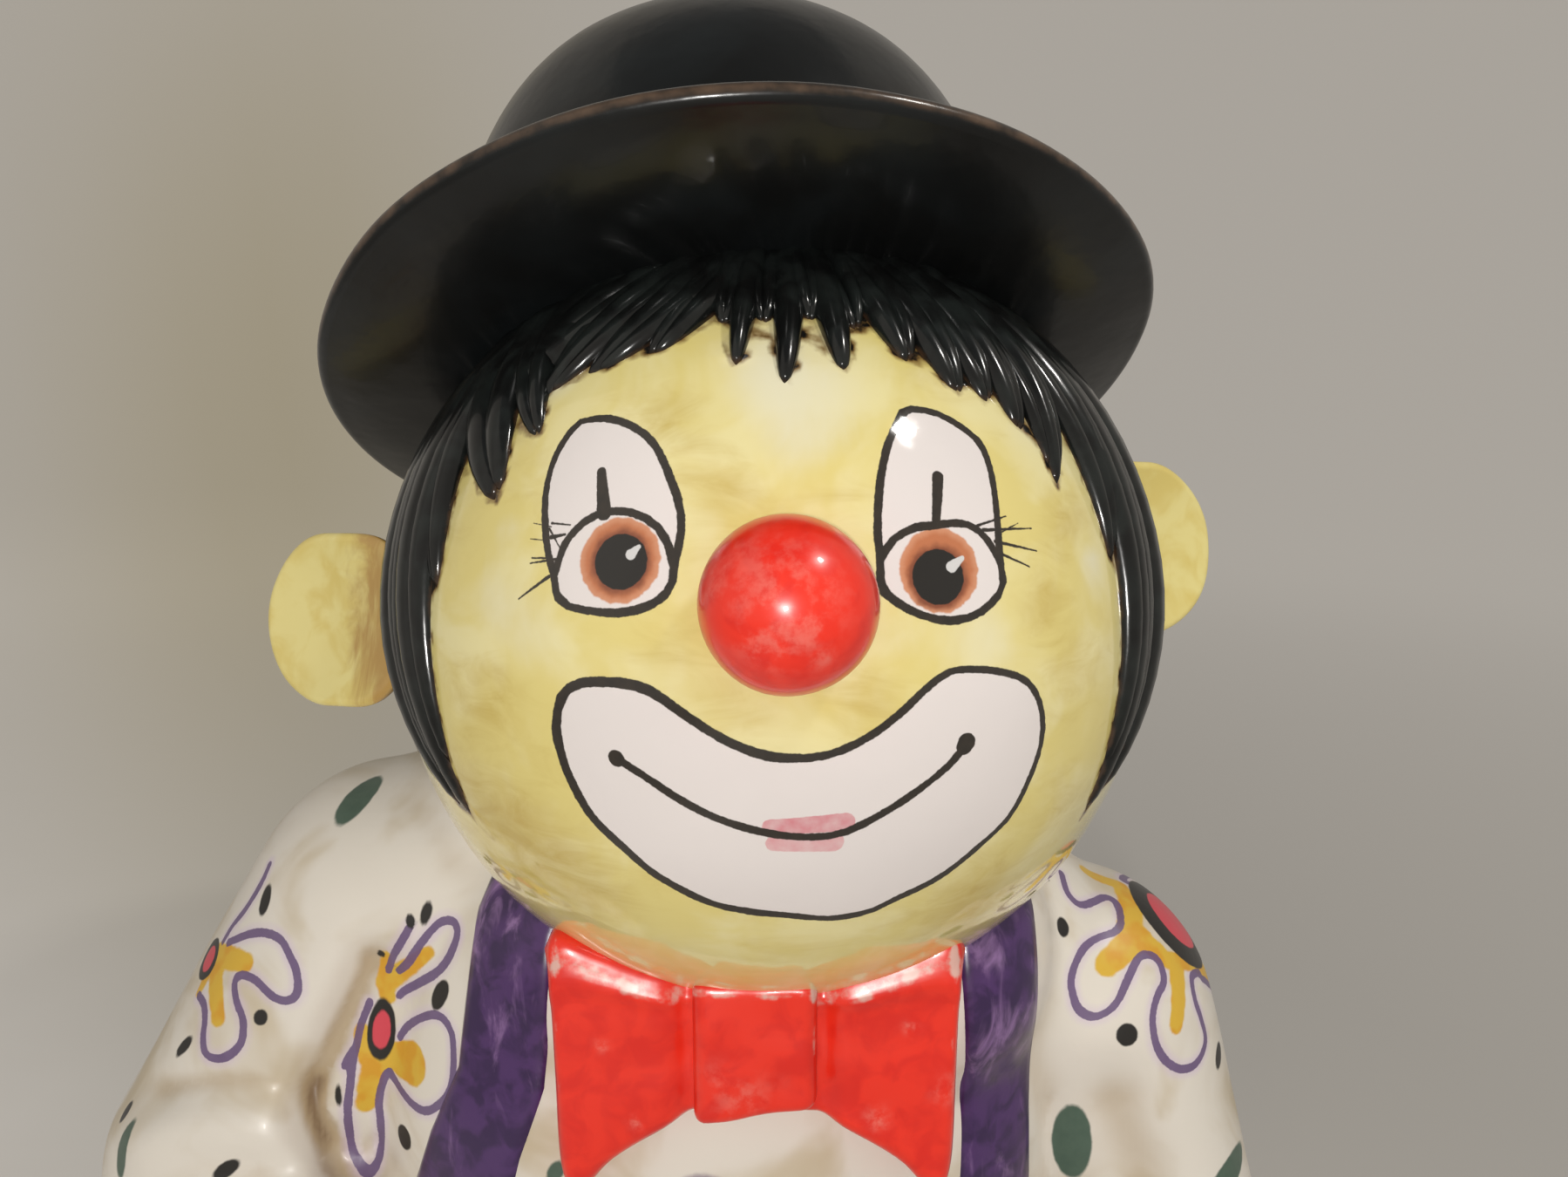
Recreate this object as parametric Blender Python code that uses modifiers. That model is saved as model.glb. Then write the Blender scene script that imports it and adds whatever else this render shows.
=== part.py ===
"""Bust of a glazed ceramic clown figurine, in metres, +Z up, facing -Y.

The bust is one casting. The origin is in the middle of the flat cut below the chest, under the
head's centre. The head is a clay ball, and the free form of hat, hair, shirt and bow tie keeps its
proportions as shares of that ball's radius.
"""
import math

import bmesh
import bpy
from mathutils import Matrix, Vector

MM = 0.001

# Driving size of the figure
HEAD_RADIUS = 39.0 * MM

# Sizes set by themselves
BRIM_THICKNESS = 2.0 * MM
BOW_THICKNESS = 7.5 * MM
KNOT_PROUD = 1.6 * MM
BRACE_RELIEF = 0.8 * MM
LOCK_HEIGHT = 2.2 * MM
EAR_WALL = 2.6 * MM
SHIRT_GRID = 3.0 * MM

# The head over the cut, and how far it leans back, in degrees
HEAD_CENTRE = Vector((0.0, 0.0, 1.85)) * HEAD_RADIUS
HEAD_LEAN = 10.0

# Hat, on the head before it leans back
HAT_SEAT = Vector((-0.08, 0.13, 0.63)) * HEAD_RADIUS
HAT_LEAN = 20.6
HAT_ROLL = 6.2
BRIM_RADIUS = 1.165 * HEAD_RADIUS
CROWN_RADIUS = 0.82 * HEAD_RADIUS
CROWN_HEIGHT = 1.08 * HEAD_RADIUS
CROWN_SQUARENESS = 3.2
BRIM_LIFT = 0.045 * HEAD_RADIUS

# Nose and ears, on the head before it leans back
NOSE_RADIUS = 0.175 * HEAD_RADIUS
NOSE_OUT = 1.08 * HEAD_RADIUS
NOSE_AZIMUTH = 2.0
NOSE_ELEVATION = 3.5
EAR_RADIUS = 0.245 * HEAD_RADIUS
EAR_DEPTH = 0.14 * HEAD_RADIUS
EARS = (Vector((-1.26, 0.06, 0.01)), Vector((1.06, 0.06, 0.21)))
EAR_TURN = 28.0

# Roots that join a form to what carries it
ROOT = 0.06 * HEAD_RADIUS

# Hair: how full a lock is at its root, how much it swells, how blunt its end is, how deep the
# grooves between its strands go as a share of its height, how much it thins to the tip and how
# round it is across
LOCK_ROOT_WIDTH = 0.75
LOCK_SWELL = 0.5
LOCK_BLUNTNESS = 2.4
LOCK_TIP_WIDTH = 0.06
LOCK_GROOVE = 0.44
LOCK_THINNING = 0.55
LOCK_CROWN = 0.92

# Each lock starts under the brim at an azimuth and has a bend and a tip, all in degrees on
# the ball (azimuth, elevation), a half width in degrees and how many strands its grooves part
FRINGE = (
    (-58, (-52, 32), (-37, 15), 6.0, 3),
    (-50, (-44, 36), (-33, 24), 3.6, 2),
    (-26, (-36, 44), (-47, 34), 6.0, 3),
    (-18, (-27, 44), (-38, 30), 5.6, 3),
    (-10, (-18, 44), (-30, 34), 5.6, 3),
    (-4, (-10, 46), (-20, 35), 4.4, 2),
    (-3, (-5, 46), (-5, 35), 3.0, 2),
    (4, (4, 44), (2, 32), 3.6, 2),
    (11, (12, 45), (11, 36), 3.0, 2),
    (17, (22, 45), (22, 35), 3.6, 2),
    (22, (28, 43), (29, 30), 4.0, 2),
    (28, (34, 41), (34, 29), 4.0, 2),
    (34, (40, 38), (38, 25), 4.0, 2),
    (41, (47, 34), (42, 18), 4.6, 3),
)
SIDE_LOCKS = (
    (-64, (-60, 12), (-51, -24), 8.0, 3),
    (-58, (-55, 22), (-49, 3), 4.0, 2),
    (-76, (-74, 6), (-62, -25), 8.0, 3),
    (54, (62, 14), (54, -24), 7.0, 3),
    (48, (54, 24), (53, 6), 3.6, 2),
    (68, (74, 8), (63, -26), 8.0, 3),
)
BACK_FIRST = 88.0
BACK_LAST = 272.0
BACK_LOCKS = 13
BACK_HALF_WIDTH = 9.6
BACK_TIP = -42.0
BACK_STRANDS = 2
UNDER_BRIM = 2.0

# Shirt: chest, then shoulders, arms and breast as start, radius, end, radius, from the head's
# centre; the forearm crosses in front of the chest and its brace
CHEST_CENTRE = Vector((-0.18, 0.15, -1.50)) * HEAD_RADIUS
CHEST_RADII = Vector((1.06, 0.70, 1.25)) * HEAD_RADIUS
LIMBS = (
    ((0.00, 0.22, -0.62), 0.46, (-1.16, 0.26, -0.95), 0.45),
    ((-1.16, 0.26, -0.95), 0.46, (-1.59, 0.06, -1.66), 0.42),
    ((0.00, 0.22, -0.66), 0.46, (0.88, 0.24, -1.18), 0.44),
    ((0.94, 0.24, -1.16), 0.43, (1.17, 0.08, -1.98), 0.34),
    ((-0.45, -0.03, -0.93), 0.44, (0.36, -0.03, -0.93), 0.44),
)
FOREARM = ((-1.58, 0.02, -1.74), 0.42, (-1.10, -0.34, -1.98), 0.40)

# Bow tie: points of half a wing as shares, sideways from the knot's middle and up from the
# head's centre
BOW_MIDDLE = Vector((-0.03, -0.52, 0.0)) * HEAD_RADIUS
WING = ((0.0, -0.75), (0.12, -0.75), (0.24, -0.73), (0.37, -0.68), (0.46, -0.635), (0.505, -0.66),
        (0.485, -0.80), (0.475, -1.02), (0.465, -1.24), (0.445, -1.35), (0.41, -1.33), (0.35, -1.24),
        (0.26, -1.17), (0.13, -1.09), (0.0, -1.07))
KNOT_HALF_WIDTH = 0.15 * HEAD_RADIUS
KNOT_TOP = -0.74 * HEAD_RADIUS
KNOT_BOTTOM = -1.12 * HEAD_RADIUS

# Braces: inner and outer edge at each height, as shares from the head's centre
LEFT_BRACE = ((-0.40, -0.42, -0.66), (-0.74, -0.55, -0.80), (-1.13, -0.58, -0.84),
              (-1.33, -0.65, -0.93), (-1.95, -0.80, -1.14))
RIGHT_BRACE = ((-0.40, 0.40, 0.64), (-0.74, 0.47, 0.71), (-1.13, 0.50, 0.72),
               (-1.33, 0.50, 0.72), (-1.95, 0.50, 0.74))

# Edges sharper than this stay crisp, in degrees
SHARP_ANGLE = 38.0

# Glaze over the whole casting
GLAZE_COLOUR = (0.62, 0.54, 0.30, 1.0)
GLAZE_ROUGHNESS = 0.12


def clear_scene():
    """Removes the objects that are in the scene."""
    for thing in list(bpy.data.objects):
        bpy.data.objects.remove(thing, do_unlink=True)


def collection(name):
    """A new collection in the scene."""
    made = bpy.data.collections.new(name)
    bpy.context.scene.collection.children.link(made)
    return made


def glaze():
    """Glossy fired glaze in one colour."""
    made = bpy.data.materials.new("glaze")
    made.use_nodes = True
    shader = made.node_tree.nodes["Principled BSDF"]
    shader.inputs["Base Color"].default_value = GLAZE_COLOUR
    shader.inputs["Roughness"].default_value = GLAZE_ROUGHNESS
    shader.inputs["Metallic"].default_value = 0.0
    return made


def mesh_object(name, form, where):
    """An object from a bmesh, with its faces pointing out."""
    bmesh.ops.recalc_face_normals(form, faces=form.faces[:])
    mesh = bpy.data.meshes.new(name)
    form.to_mesh(mesh)
    form.free()
    made = bpy.data.objects.new(name, mesh)
    where.objects.link(made)
    return made


def applied(thing):
    """Replaces an object's modifiers and placing by the mesh they give."""
    bpy.context.view_layer.update()
    evaluated = thing.evaluated_get(bpy.context.evaluated_depsgraph_get())
    mesh = bpy.data.meshes.new_from_object(evaluated)
    mesh.transform(thing.matrix_world)
    thing.modifiers.clear()
    thing.data = mesh
    thing.matrix_world = Matrix.Identity(4)
    return thing


def close_specks(thing):
    """Keeps the outer skin, so a speck of air sealed between two locks of hair is filled."""
    form = bmesh.new()
    form.from_mesh(thing.data)
    unseen = set(form.verts)
    skins = []
    while unseen:
        front = [unseen.pop()]
        skin = []
        while front:
            vert = front.pop()
            skin.append(vert)
            near = [edge.other_vert(vert) for edge in vert.link_edges]
            fresh = [other for other in near if other in unseen]
            unseen.difference_update(fresh)
            front += fresh
        skins.append(skin)
    skins.sort(key=len)
    specks = [vert for skin in skins[:-1] for vert in skin]
    bmesh.ops.delete(form, geom=specks, context="VERTS")
    form.to_mesh(thing.data)
    form.free()


def head_frame():
    """The head's own frame, which leans back about the ball's centre."""
    return Matrix.Translation(HEAD_CENTRE) @ Matrix.Rotation(math.radians(-HEAD_LEAN), 4, "X")


def on_ball(azimuth, elevation):
    """Unit direction from the ball's centre: azimuth 0 at the face, rising towards +X."""
    a = math.radians(azimuth)
    e = math.radians(elevation)
    return Vector((math.sin(a) * math.cos(e), -math.cos(a) * math.cos(e), math.sin(e)))


def ball(name, radius, frame, where, segments=36, rings=22):
    """A closed ball."""
    form = bmesh.new()
    bmesh.ops.create_uvsphere(form, u_segments=segments, v_segments=rings, radius=radius)
    bmesh.ops.transform(form, matrix=frame, verts=form.verts[:])
    return mesh_object(name, form, where)


def lock(name, root, bend, tip, half_width, strands, frame, where, along=6):
    """A tapered lock of hair that lies on the ball, grooved between its strands."""
    form = bmesh.new()
    across = 2 * strands + 1
    bmesh.ops.create_grid(form, x_segments=along, y_segments=across - 1, size=1.0)
    ends = [on_ball(*root), on_ball(*bend), on_ball(*tip)]
    for vert in form.verts:
        s = 0.5 * (vert.co.x + 1.0)
        t = vert.co.y
        middle = (ends[0] * (1 - s) ** 2 + ends[1] * 2 * s * (1 - s) + ends[2] * s * s).normalized()
        ahead = (ends[1] - ends[0]) * (1 - s) + (ends[2] - ends[1]) * s
        side = middle.cross(ahead).normalized()
        narrowing = max(LOCK_TIP_WIDTH, (1.0 - s ** LOCK_BLUNTNESS) * (LOCK_ROOT_WIDTH + LOCK_SWELL * s))
        reach = math.radians(half_width) * narrowing * t
        strand = 0.5 - 0.5 * math.cos(math.pi * (t + 1.0) * strands)
        crown = math.sqrt(1.0 - (LOCK_CROWN * t) ** 2)
        height = LOCK_HEIGHT * (1.0 - LOCK_GROOVE * (1.0 - strand)) * crown * (1.0 - LOCK_THINNING * s ** 3)
        vert.co = (middle + side * reach).normalized() * (HEAD_RADIUS + height)
    top = form.faces[:]
    grown = bmesh.ops.extrude_face_region(form, geom=top, use_keep_orig=True)
    for vert in [part for part in grown["geom"] if isinstance(part, bmesh.types.BMVert)]:
        vert.co = vert.co.normalized() * (HEAD_RADIUS - ROOT)
    bmesh.ops.transform(form, matrix=frame, verts=form.verts[:])
    return mesh_object(name, form, where)


def hat_turn():
    """How the hat leans back and rolls on the head."""
    roll = Matrix.Rotation(math.radians(-HAT_ROLL), 4, "Y")
    return roll @ Matrix.Rotation(math.radians(-HAT_LEAN), 4, "X")


def hairline(azimuth):
    """Elevation on the ball, in degrees, just above the plane of the hat's brim."""
    axis = hat_turn() @ Vector((0.0, 0.0, 1.0))
    ahead = on_ball(azimuth, 0.0)
    level = axis.dot(ahead)
    meet = axis.dot(HAT_SEAT) / HEAD_RADIUS / math.hypot(level, axis.z)
    return math.degrees(math.atan2(axis.z, level) - math.acos(meet)) + UNDER_BRIM


def hair(frame, where):
    """Fringe, side hair and the plainer back hair, all as locks on the ball."""
    for number, (azimuth, *rest) in enumerate(FRINGE + SIDE_LOCKS):
        lock(f"lock_{number}", (azimuth, hairline(azimuth)), *rest, frame, where)
    for number in range(BACK_LOCKS):
        azimuth = BACK_FIRST + (BACK_LAST - BACK_FIRST) * number / (BACK_LOCKS - 1)
        sway = 3.0 * math.sin(2.3 * number)
        tip = BACK_TIP + 5.0 * math.cos(1.7 * number)
        root = (azimuth, hairline(azimuth))
        bend = (azimuth + sway, 0.5 * (hairline(azimuth) + tip))
        lock(f"back_lock_{number}", root, bend, (azimuth, tip), BACK_HALF_WIDTH, BACK_STRANDS, frame, where)


def hat(frame, where):
    """A bowler turned in one: a domed crown and a thin brim with a rounded, lifted rim."""
    form = bmesh.new()
    outline = []
    steps = 7
    for i in range(steps + 1):
        turn = 0.5 * math.pi * i / steps
        outline.append((CROWN_RADIUS * math.sin(turn) ** (2.0 / CROWN_SQUARENESS),
                        CROWN_HEIGHT * math.cos(turn) ** (2.0 / CROWN_SQUARENESS)))
    half = 0.5 * BRIM_THICKNESS
    outline[-1] = (CROWN_RADIUS, BRIM_THICKNESS + 2.0 * half)
    outline.append((CROWN_RADIUS + 2.0 * half, BRIM_THICKNESS))
    outline.append((BRIM_RADIUS - 4.0 * half, BRIM_THICKNESS + 0.5 * BRIM_LIFT))
    for i in range(5):
        turn = math.radians(90.0 - 45.0 * i)
        outline.append((BRIM_RADIUS - half + half * math.cos(turn),
                        BRIM_LIFT + half + half * math.sin(turn)))
    outline.append((BRIM_RADIUS - 4.0 * half, 0.5 * BRIM_LIFT))
    outline.append((CROWN_RADIUS, 0.0))
    outline.append((0.0, 0.0))
    verts = [form.verts.new((radius, 0.0, height)) for radius, height in outline]
    for first, second in zip(verts, verts[1:]):
        form.edges.new((first, second))
    mesh = bpy.data.meshes.new("hat")
    form.to_mesh(mesh)
    form.free()
    made = bpy.data.objects.new("hat", mesh)
    where.objects.link(made)
    turned = made.modifiers.new("turned", "SCREW")
    turned.steps = 36
    turned.render_steps = 36
    turned.use_merge_vertices = True
    turned.merge_threshold = 0.00001
    seat = Matrix.Translation(HAT_SEAT)
    made.matrix_world = frame @ seat @ hat_turn()
    return applied(made)


def ear(name, centre, frame, where):
    """A cupped ear, pressed from a ball of clay and opening to the front."""
    side = 1.0 if centre.x > 0.0 else -1.0
    form = bmesh.new()
    outer = EAR_RADIUS
    inner = EAR_RADIUS - EAR_WALL
    steps = 6
    outline = [(outer * math.cos(0.5 * math.pi * i / steps), -EAR_DEPTH * math.sin(0.5 * math.pi * i / steps))
               for i in range(steps + 1)]
    outline.append((0.0, -EAR_DEPTH + 0.6 * EAR_WALL))
    outline += [(inner * math.sin(0.5 * math.pi * i / steps),
                 (0.6 * EAR_WALL - EAR_DEPTH) * math.cos(0.5 * math.pi * i / steps)) for i in range(1, steps)]
    outline.append((inner + 0.3 * EAR_WALL, 0.25 * EAR_WALL))
    outline.append((outer - 0.3 * EAR_WALL, 0.25 * EAR_WALL))
    verts = [form.verts.new((radius, 0.0, height)) for radius, height in outline]
    for first, second in zip(verts, verts[1:] + verts[:1]):
        form.edges.new((first, second))
    bmesh.ops.spin(form, geom=form.verts[:] + form.edges[:], axis=(0, 0, 1), cent=(0, 0, 0),
                   angle=2.0 * math.pi, steps=16, use_merge=True)
    bmesh.ops.remove_doubles(form, verts=form.verts[:], dist=0.00001)
    turn = Matrix.Rotation(math.radians(side * EAR_TURN), 4, "Z")
    upright = Matrix.Rotation(math.radians(90.0), 4, "X")
    placed = frame @ Matrix.Translation(centre * HEAD_RADIUS) @ turn @ upright
    bmesh.ops.transform(form, matrix=placed, verts=form.verts[:])
    return mesh_object(name, form, where)


def limb(name, start, start_radius, end, end_radius, where):
    """A tapered limb with round ends: the hull of two balls."""
    form = bmesh.new()
    for place, radius in ((start, start_radius), (end, end_radius)):
        centre = HEAD_CENTRE + Vector(place) * HEAD_RADIUS
        bmesh.ops.create_icosphere(form, subdivisions=3, radius=radius * HEAD_RADIUS,
                                   matrix=Matrix.Translation(centre))
    hull = bmesh.ops.convex_hull(form, input=form.verts[:])
    spare = [part for part in hull["geom_interior"] if isinstance(part, bmesh.types.BMVert)]
    bmesh.ops.delete(form, geom=spare, context="VERTS")
    return mesh_object(name, form, where)


def shirt(name, limbs, where):
    """Chest and these limbs, blended as soft clay."""
    form = bmesh.new()
    size = Matrix.Diagonal((*CHEST_RADII, 1.0))
    bmesh.ops.create_icosphere(form, subdivisions=4, radius=1.0,
                               matrix=Matrix.Translation(HEAD_CENTRE + CHEST_CENTRE) @ size)
    parts = [mesh_object("chest", form, where)]
    for number, sizes in enumerate(limbs):
        parts.append(limb(f"limb_{number}", *sizes, where))
    joined = bmesh.new()
    for part in parts:
        joined.from_mesh(part.data)
        bpy.data.objects.remove(part, do_unlink=True)
    made = mesh_object(name, joined, where)
    blended = made.modifiers.new("blended", "REMESH")
    blended.mode = "VOXEL"
    blended.voxel_size = SHIRT_GRID
    smooth = made.modifiers.new("smooth", "SMOOTH")
    smooth.factor = 0.5
    smooth.iterations = 6
    thinned = made.modifiers.new("thinned", "DECIMATE")
    thinned.ratio = 0.2
    return applied(made)


def flat_outline(name, points, thickness, where):
    """An upright slab with this outline, points as (x, z), its middle in the plane y = 0."""
    curve = bpy.data.curves.new(name, "CURVE")
    curve.dimensions = "2D"
    curve.fill_mode = "BOTH"
    curve.extrude = 0.5 * thickness
    line = curve.splines.new("POLY")
    line.points.add(len(points) - 1)
    for point, (x, z) in zip(line.points, points):
        point.co = (x, z, 0.0, 1.0)
    line.use_cyclic_u = True
    shape = bpy.data.objects.new(name + "_curve", curve)
    where.objects.link(shape)
    bpy.context.view_layer.update()
    mesh = bpy.data.meshes.new_from_object(shape.evaluated_get(bpy.context.evaluated_depsgraph_get()))
    bpy.data.objects.remove(shape, do_unlink=True)
    form = bmesh.new()
    form.from_mesh(mesh)
    bmesh.ops.remove_doubles(form, verts=form.verts[:], dist=0.00001)
    bmesh.ops.transform(form, matrix=Matrix.Rotation(math.radians(90.0), 4, "X"), verts=form.verts[:])
    return mesh_object(name, form, where)


def bow_tie(where):
    """The flat wings and the band wrapped round their middle."""
    outline = [(-x, z) for x, z in WING] + [(x, z) for x, z in reversed(WING[1:-1])]
    points = [(x * HEAD_RADIUS, z * HEAD_RADIUS) for x, z in outline]
    wings = flat_outline("wings", points, BOW_THICKNESS, where)
    wings.location = HEAD_CENTRE + BOW_MIDDLE
    applied(wings)
    form = bmesh.new()
    tall = KNOT_TOP - KNOT_BOTTOM
    deep = BOW_THICKNESS + 2.0 * KNOT_PROUD
    middle = HEAD_CENTRE + BOW_MIDDLE + Vector((0.0, 0.0, 0.5 * (KNOT_TOP + KNOT_BOTTOM)))
    size = Matrix.Diagonal((2.0 * KNOT_HALF_WIDTH, deep, tall, 1.0))
    bmesh.ops.create_cube(form, size=1.0, matrix=Matrix.Translation(middle) @ size)
    bmesh.ops.bevel(form, geom=form.edges[:], offset=KNOT_PROUD, segments=2, profile=0.5,
                    affect="EDGES", material=-1)
    return mesh_object("knot", form, where)


def brace(name, edges, torso, where):
    """A strap laid on the torso, front and back: the torso grown by the strap's relief, kept
    only inside the strap's outline."""
    inner = [(inside * HEAD_RADIUS, height * HEAD_RADIUS) for height, inside, outside in edges]
    outer = [(outside * HEAD_RADIUS, height * HEAD_RADIUS) for height, inside, outside in edges]
    prism = flat_outline(name + "_prism", inner + outer[::-1], 4.0 * HEAD_RADIUS, where)
    prism.location = HEAD_CENTRE
    applied(prism)
    form = bmesh.new()
    form.from_mesh(torso.data)
    form.normal_update()
    for vert in form.verts:
        vert.co += vert.normal * BRACE_RELIEF
    made = mesh_object(name, form, where)
    kept = made.modifiers.new("kept", "BOOLEAN")
    kept.operation = "INTERSECT"
    kept.object = prism
    applied(made)
    bpy.data.objects.remove(prism, do_unlink=True)
    return made


def build():
    """Models the pieces of clay, joins them into one casting and cuts it flat below."""
    clear_scene()
    bust = collection("clown_bust")
    clay = collection("clay")
    frame = head_frame()
    casting = ball("clown_bust", HEAD_RADIUS, frame, bust)
    nose = on_ball(NOSE_AZIMUTH, NOSE_ELEVATION) * NOSE_OUT
    ball("nose", NOSE_RADIUS, frame @ Matrix.Translation(nose), clay, 20, 14)
    for name, centre in zip(("left_ear", "right_ear"), EARS):
        ear(name, centre, frame, clay)
    hat(frame, clay)
    hair(frame, clay)
    shirt("shirt", LIMBS + (FOREARM,), clay)
    bow_tie(clay)
    torso = shirt("torso_under_braces", LIMBS, clay)
    brace("left_brace", LEFT_BRACE, torso, clay)
    brace("right_brace", RIGHT_BRACE, torso, clay)
    bpy.data.objects.remove(torso, do_unlink=True)
    joined = casting.modifiers.new("joined", "BOOLEAN")
    joined.operation = "UNION"
    joined.operand_type = "COLLECTION"
    joined.collection = clay
    applied(casting)
    for piece in list(clay.objects):
        bpy.data.objects.remove(piece, do_unlink=True)
    form = bmesh.new()
    below = Matrix.Translation((0.0, 0.0, -2.0 * HEAD_RADIUS))
    bmesh.ops.create_cube(form, size=4.0 * HEAD_RADIUS, matrix=below @ Matrix.Diagonal((2.0, 1.0, 1.0, 1.0)))
    base = mesh_object("base_cut", form, clay)
    base.display_type = "WIRE"
    base.hide_render = True
    cut = casting.modifiers.new("cut", "BOOLEAN")
    cut.operation = "DIFFERENCE"
    cut.object = base
    applied(casting)
    bpy.data.objects.remove(base, do_unlink=True)
    bpy.data.collections.remove(clay)
    close_specks(casting)
    casting.data.materials.clear()
    casting.data.materials.append(glaze())
    casting.data.shade_smooth()
    casting.data.set_sharp_from_angle(angle=math.radians(SHARP_ANGLE))


build()
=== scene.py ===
"""Looks of a glazed ceramic clown bust, in metres, +Z up, facing -Y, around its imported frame."""
import math

import bmesh
import bpy
import numpy as np
from mathutils import Matrix, Vector, noise
from mathutils.bvhtree import BVHTree


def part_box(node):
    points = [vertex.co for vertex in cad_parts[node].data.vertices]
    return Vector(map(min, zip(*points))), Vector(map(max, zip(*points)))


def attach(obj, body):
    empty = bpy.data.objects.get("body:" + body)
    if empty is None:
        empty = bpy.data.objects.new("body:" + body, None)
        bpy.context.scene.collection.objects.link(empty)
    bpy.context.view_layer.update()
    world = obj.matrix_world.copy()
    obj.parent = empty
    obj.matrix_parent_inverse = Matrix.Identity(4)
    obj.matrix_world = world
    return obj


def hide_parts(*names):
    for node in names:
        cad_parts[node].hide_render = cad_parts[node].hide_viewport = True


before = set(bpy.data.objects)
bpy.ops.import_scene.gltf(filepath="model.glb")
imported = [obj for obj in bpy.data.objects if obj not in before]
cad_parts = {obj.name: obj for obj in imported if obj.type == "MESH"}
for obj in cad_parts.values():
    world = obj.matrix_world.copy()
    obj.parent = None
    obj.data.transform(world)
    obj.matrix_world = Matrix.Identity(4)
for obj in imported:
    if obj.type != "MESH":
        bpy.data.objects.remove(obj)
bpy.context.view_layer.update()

# The head. A ball of clay that leans back by ten degrees over the flat cut. Everything else on
# the bust is sized as a share of its radius.
MM = 0.001
MERGE = 0.01 * MM
HEAD_RADIUS = 39.0 * MM
CUT_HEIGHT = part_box("clown_bust")[0].z
HEAD_CENTRE = Vector((0.0, 0.0, CUT_HEIGHT + 1.85 * HEAD_RADIUS))
HEAD_LEAN = 10.0


def rotation(degrees, axis):
    """A turn round one axis through the origin."""
    return Matrix.Rotation(math.radians(degrees), 4, axis)


HEAD_FRAME = Matrix.Translation(HEAD_CENTRE) @ rotation(-HEAD_LEAN, "X")


def on_ball(azimuth, elevation):
    """Unit direction from the ball's centre: azimuth 0 at the face, rising towards +X."""
    a = math.radians(azimuth)
    e = math.radians(elevation)
    return Vector((math.sin(a) * math.cos(e), -math.cos(a) * math.cos(e), math.sin(e)))


# The camera. The photograph is a close-up from ten degrees above, about 13 cm from the middle of
# the head, so what is near looks large. Its pixels are counted from the upper left corner.
PHOTO_WIDTH = 1799
PHOTO_HEIGHT = 1350
FOCAL_PIXELS = 1412.0
SENSOR_WIDTH = 36.0
CAMERA_DROP = math.radians(10.0)
CAMERA_PLACE = HEAD_CENTRE + Vector((1.185, -131.18, 26.98)) * MM
RIGHT = Vector((1.0, 0.0, 0.0))
UP = Vector((0.0, math.sin(CAMERA_DROP), math.cos(CAMERA_DROP)))
AHEAD = Vector((0.0, math.cos(CAMERA_DROP), -math.sin(CAMERA_DROP)))


def set_out(name, data):
    """A new object in the scene."""
    made = bpy.data.objects.new(name, data)
    bpy.context.scene.collection.objects.link(made)
    return made


lens = bpy.data.cameras.new("close_up")
lens.sensor_width = SENSOR_WIDTH
lens.lens = SENSOR_WIDTH * FOCAL_PIXELS / PHOTO_WIDTH
lens.clip_start = 1.0 * MM
lens.clip_end = 10.0
camera = set_out("close_up", lens)
camera.location = CAMERA_PLACE
camera.rotation_euler = (math.radians(90.0) - CAMERA_DROP, 0.0, 0.0)
bpy.context.scene.camera = camera


def sight(x, y):
    """Direction of the sight line through a pixel of the photograph."""
    return (AHEAD * FOCAL_PIXELS + RIGHT * (x - 0.5 * PHOTO_WIDTH)
            + UP * (0.5 * PHOTO_HEIGHT - y)).normalized()


# The face. A ball of white earthenware under pale yellow and ochre brushed underglaze, with the
# eyes and the mouth left white and drawn round in black pen before the clear glaze.
BALL_DETAIL = 6
HAND_WAVE = 9.0 * MM
HAND_DEPTH = 0.10 * MM

FACE_WHITE = (222, 215, 213)
SKIN_PALE = (226, 216, 160)
SKIN_YELLOW = (218, 203, 128)
SKIN_OCHRE = (190, 164, 78)
SKIN_BARE = (224, 219, 190)
PEN_BLACK = (24, 22, 20)
LIP_ROSE = (204, 112, 124)
LIP_SOFT = (212, 146, 152)
IRIS_RIM = (200, 138, 104)
IRIS_ORANGE = (184, 112, 74)
IRIS_BROWN = (128, 70, 46)
PUPIL_GREY = (205, 205, 205)
PEN_BROWN = (52, 44, 36)
# Brown and black on the skin next to the hair: black glaze run onto it, and painted shade
HAIR_RUN_AND_SHADE_BROWN = (120, 92, 50)
HAIR_RUN_AND_SHADE_BLACK = (18, 17, 16)

LEFT_EYE = ((700, 480), (679, 481), (666, 484), (654, 496), (639, 520), (629, 548), (625, 579),
            (626, 615), (630, 641), (636, 663), (641, 689), (659, 697), (686, 702), (710, 703),
            (736, 698), (760, 686), (772, 666), (774, 646), (779, 625), (782, 598), (777, 570),
            (762, 531), (748, 506), (726, 489))
RIGHT_EYE = ((1040, 470), (1072, 473), (1099, 487), (1122, 505), (1133, 527), (1140, 557), (1144, 593),
             (1146, 620), (1148, 646), (1151, 671), (1144, 684), (1128, 700), (1110, 709), (1085, 712),
             (1056, 705), (1031, 692), (1012, 675), (1010, 639), (1007, 611), (1008, 575), (1011, 543),
             (1019, 509), (1029, 487))
LEFT_LID = ((640, 646), (648, 623), (667, 601), (686, 590), (710, 586), (736, 592), (755, 605),
            (767, 625), (772, 646))
RIGHT_LID = ((1012, 639), (1024, 620), (1047, 606), (1074, 602), (1101, 600), (1121, 607), (1137, 625),
             (1146, 643))
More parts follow.
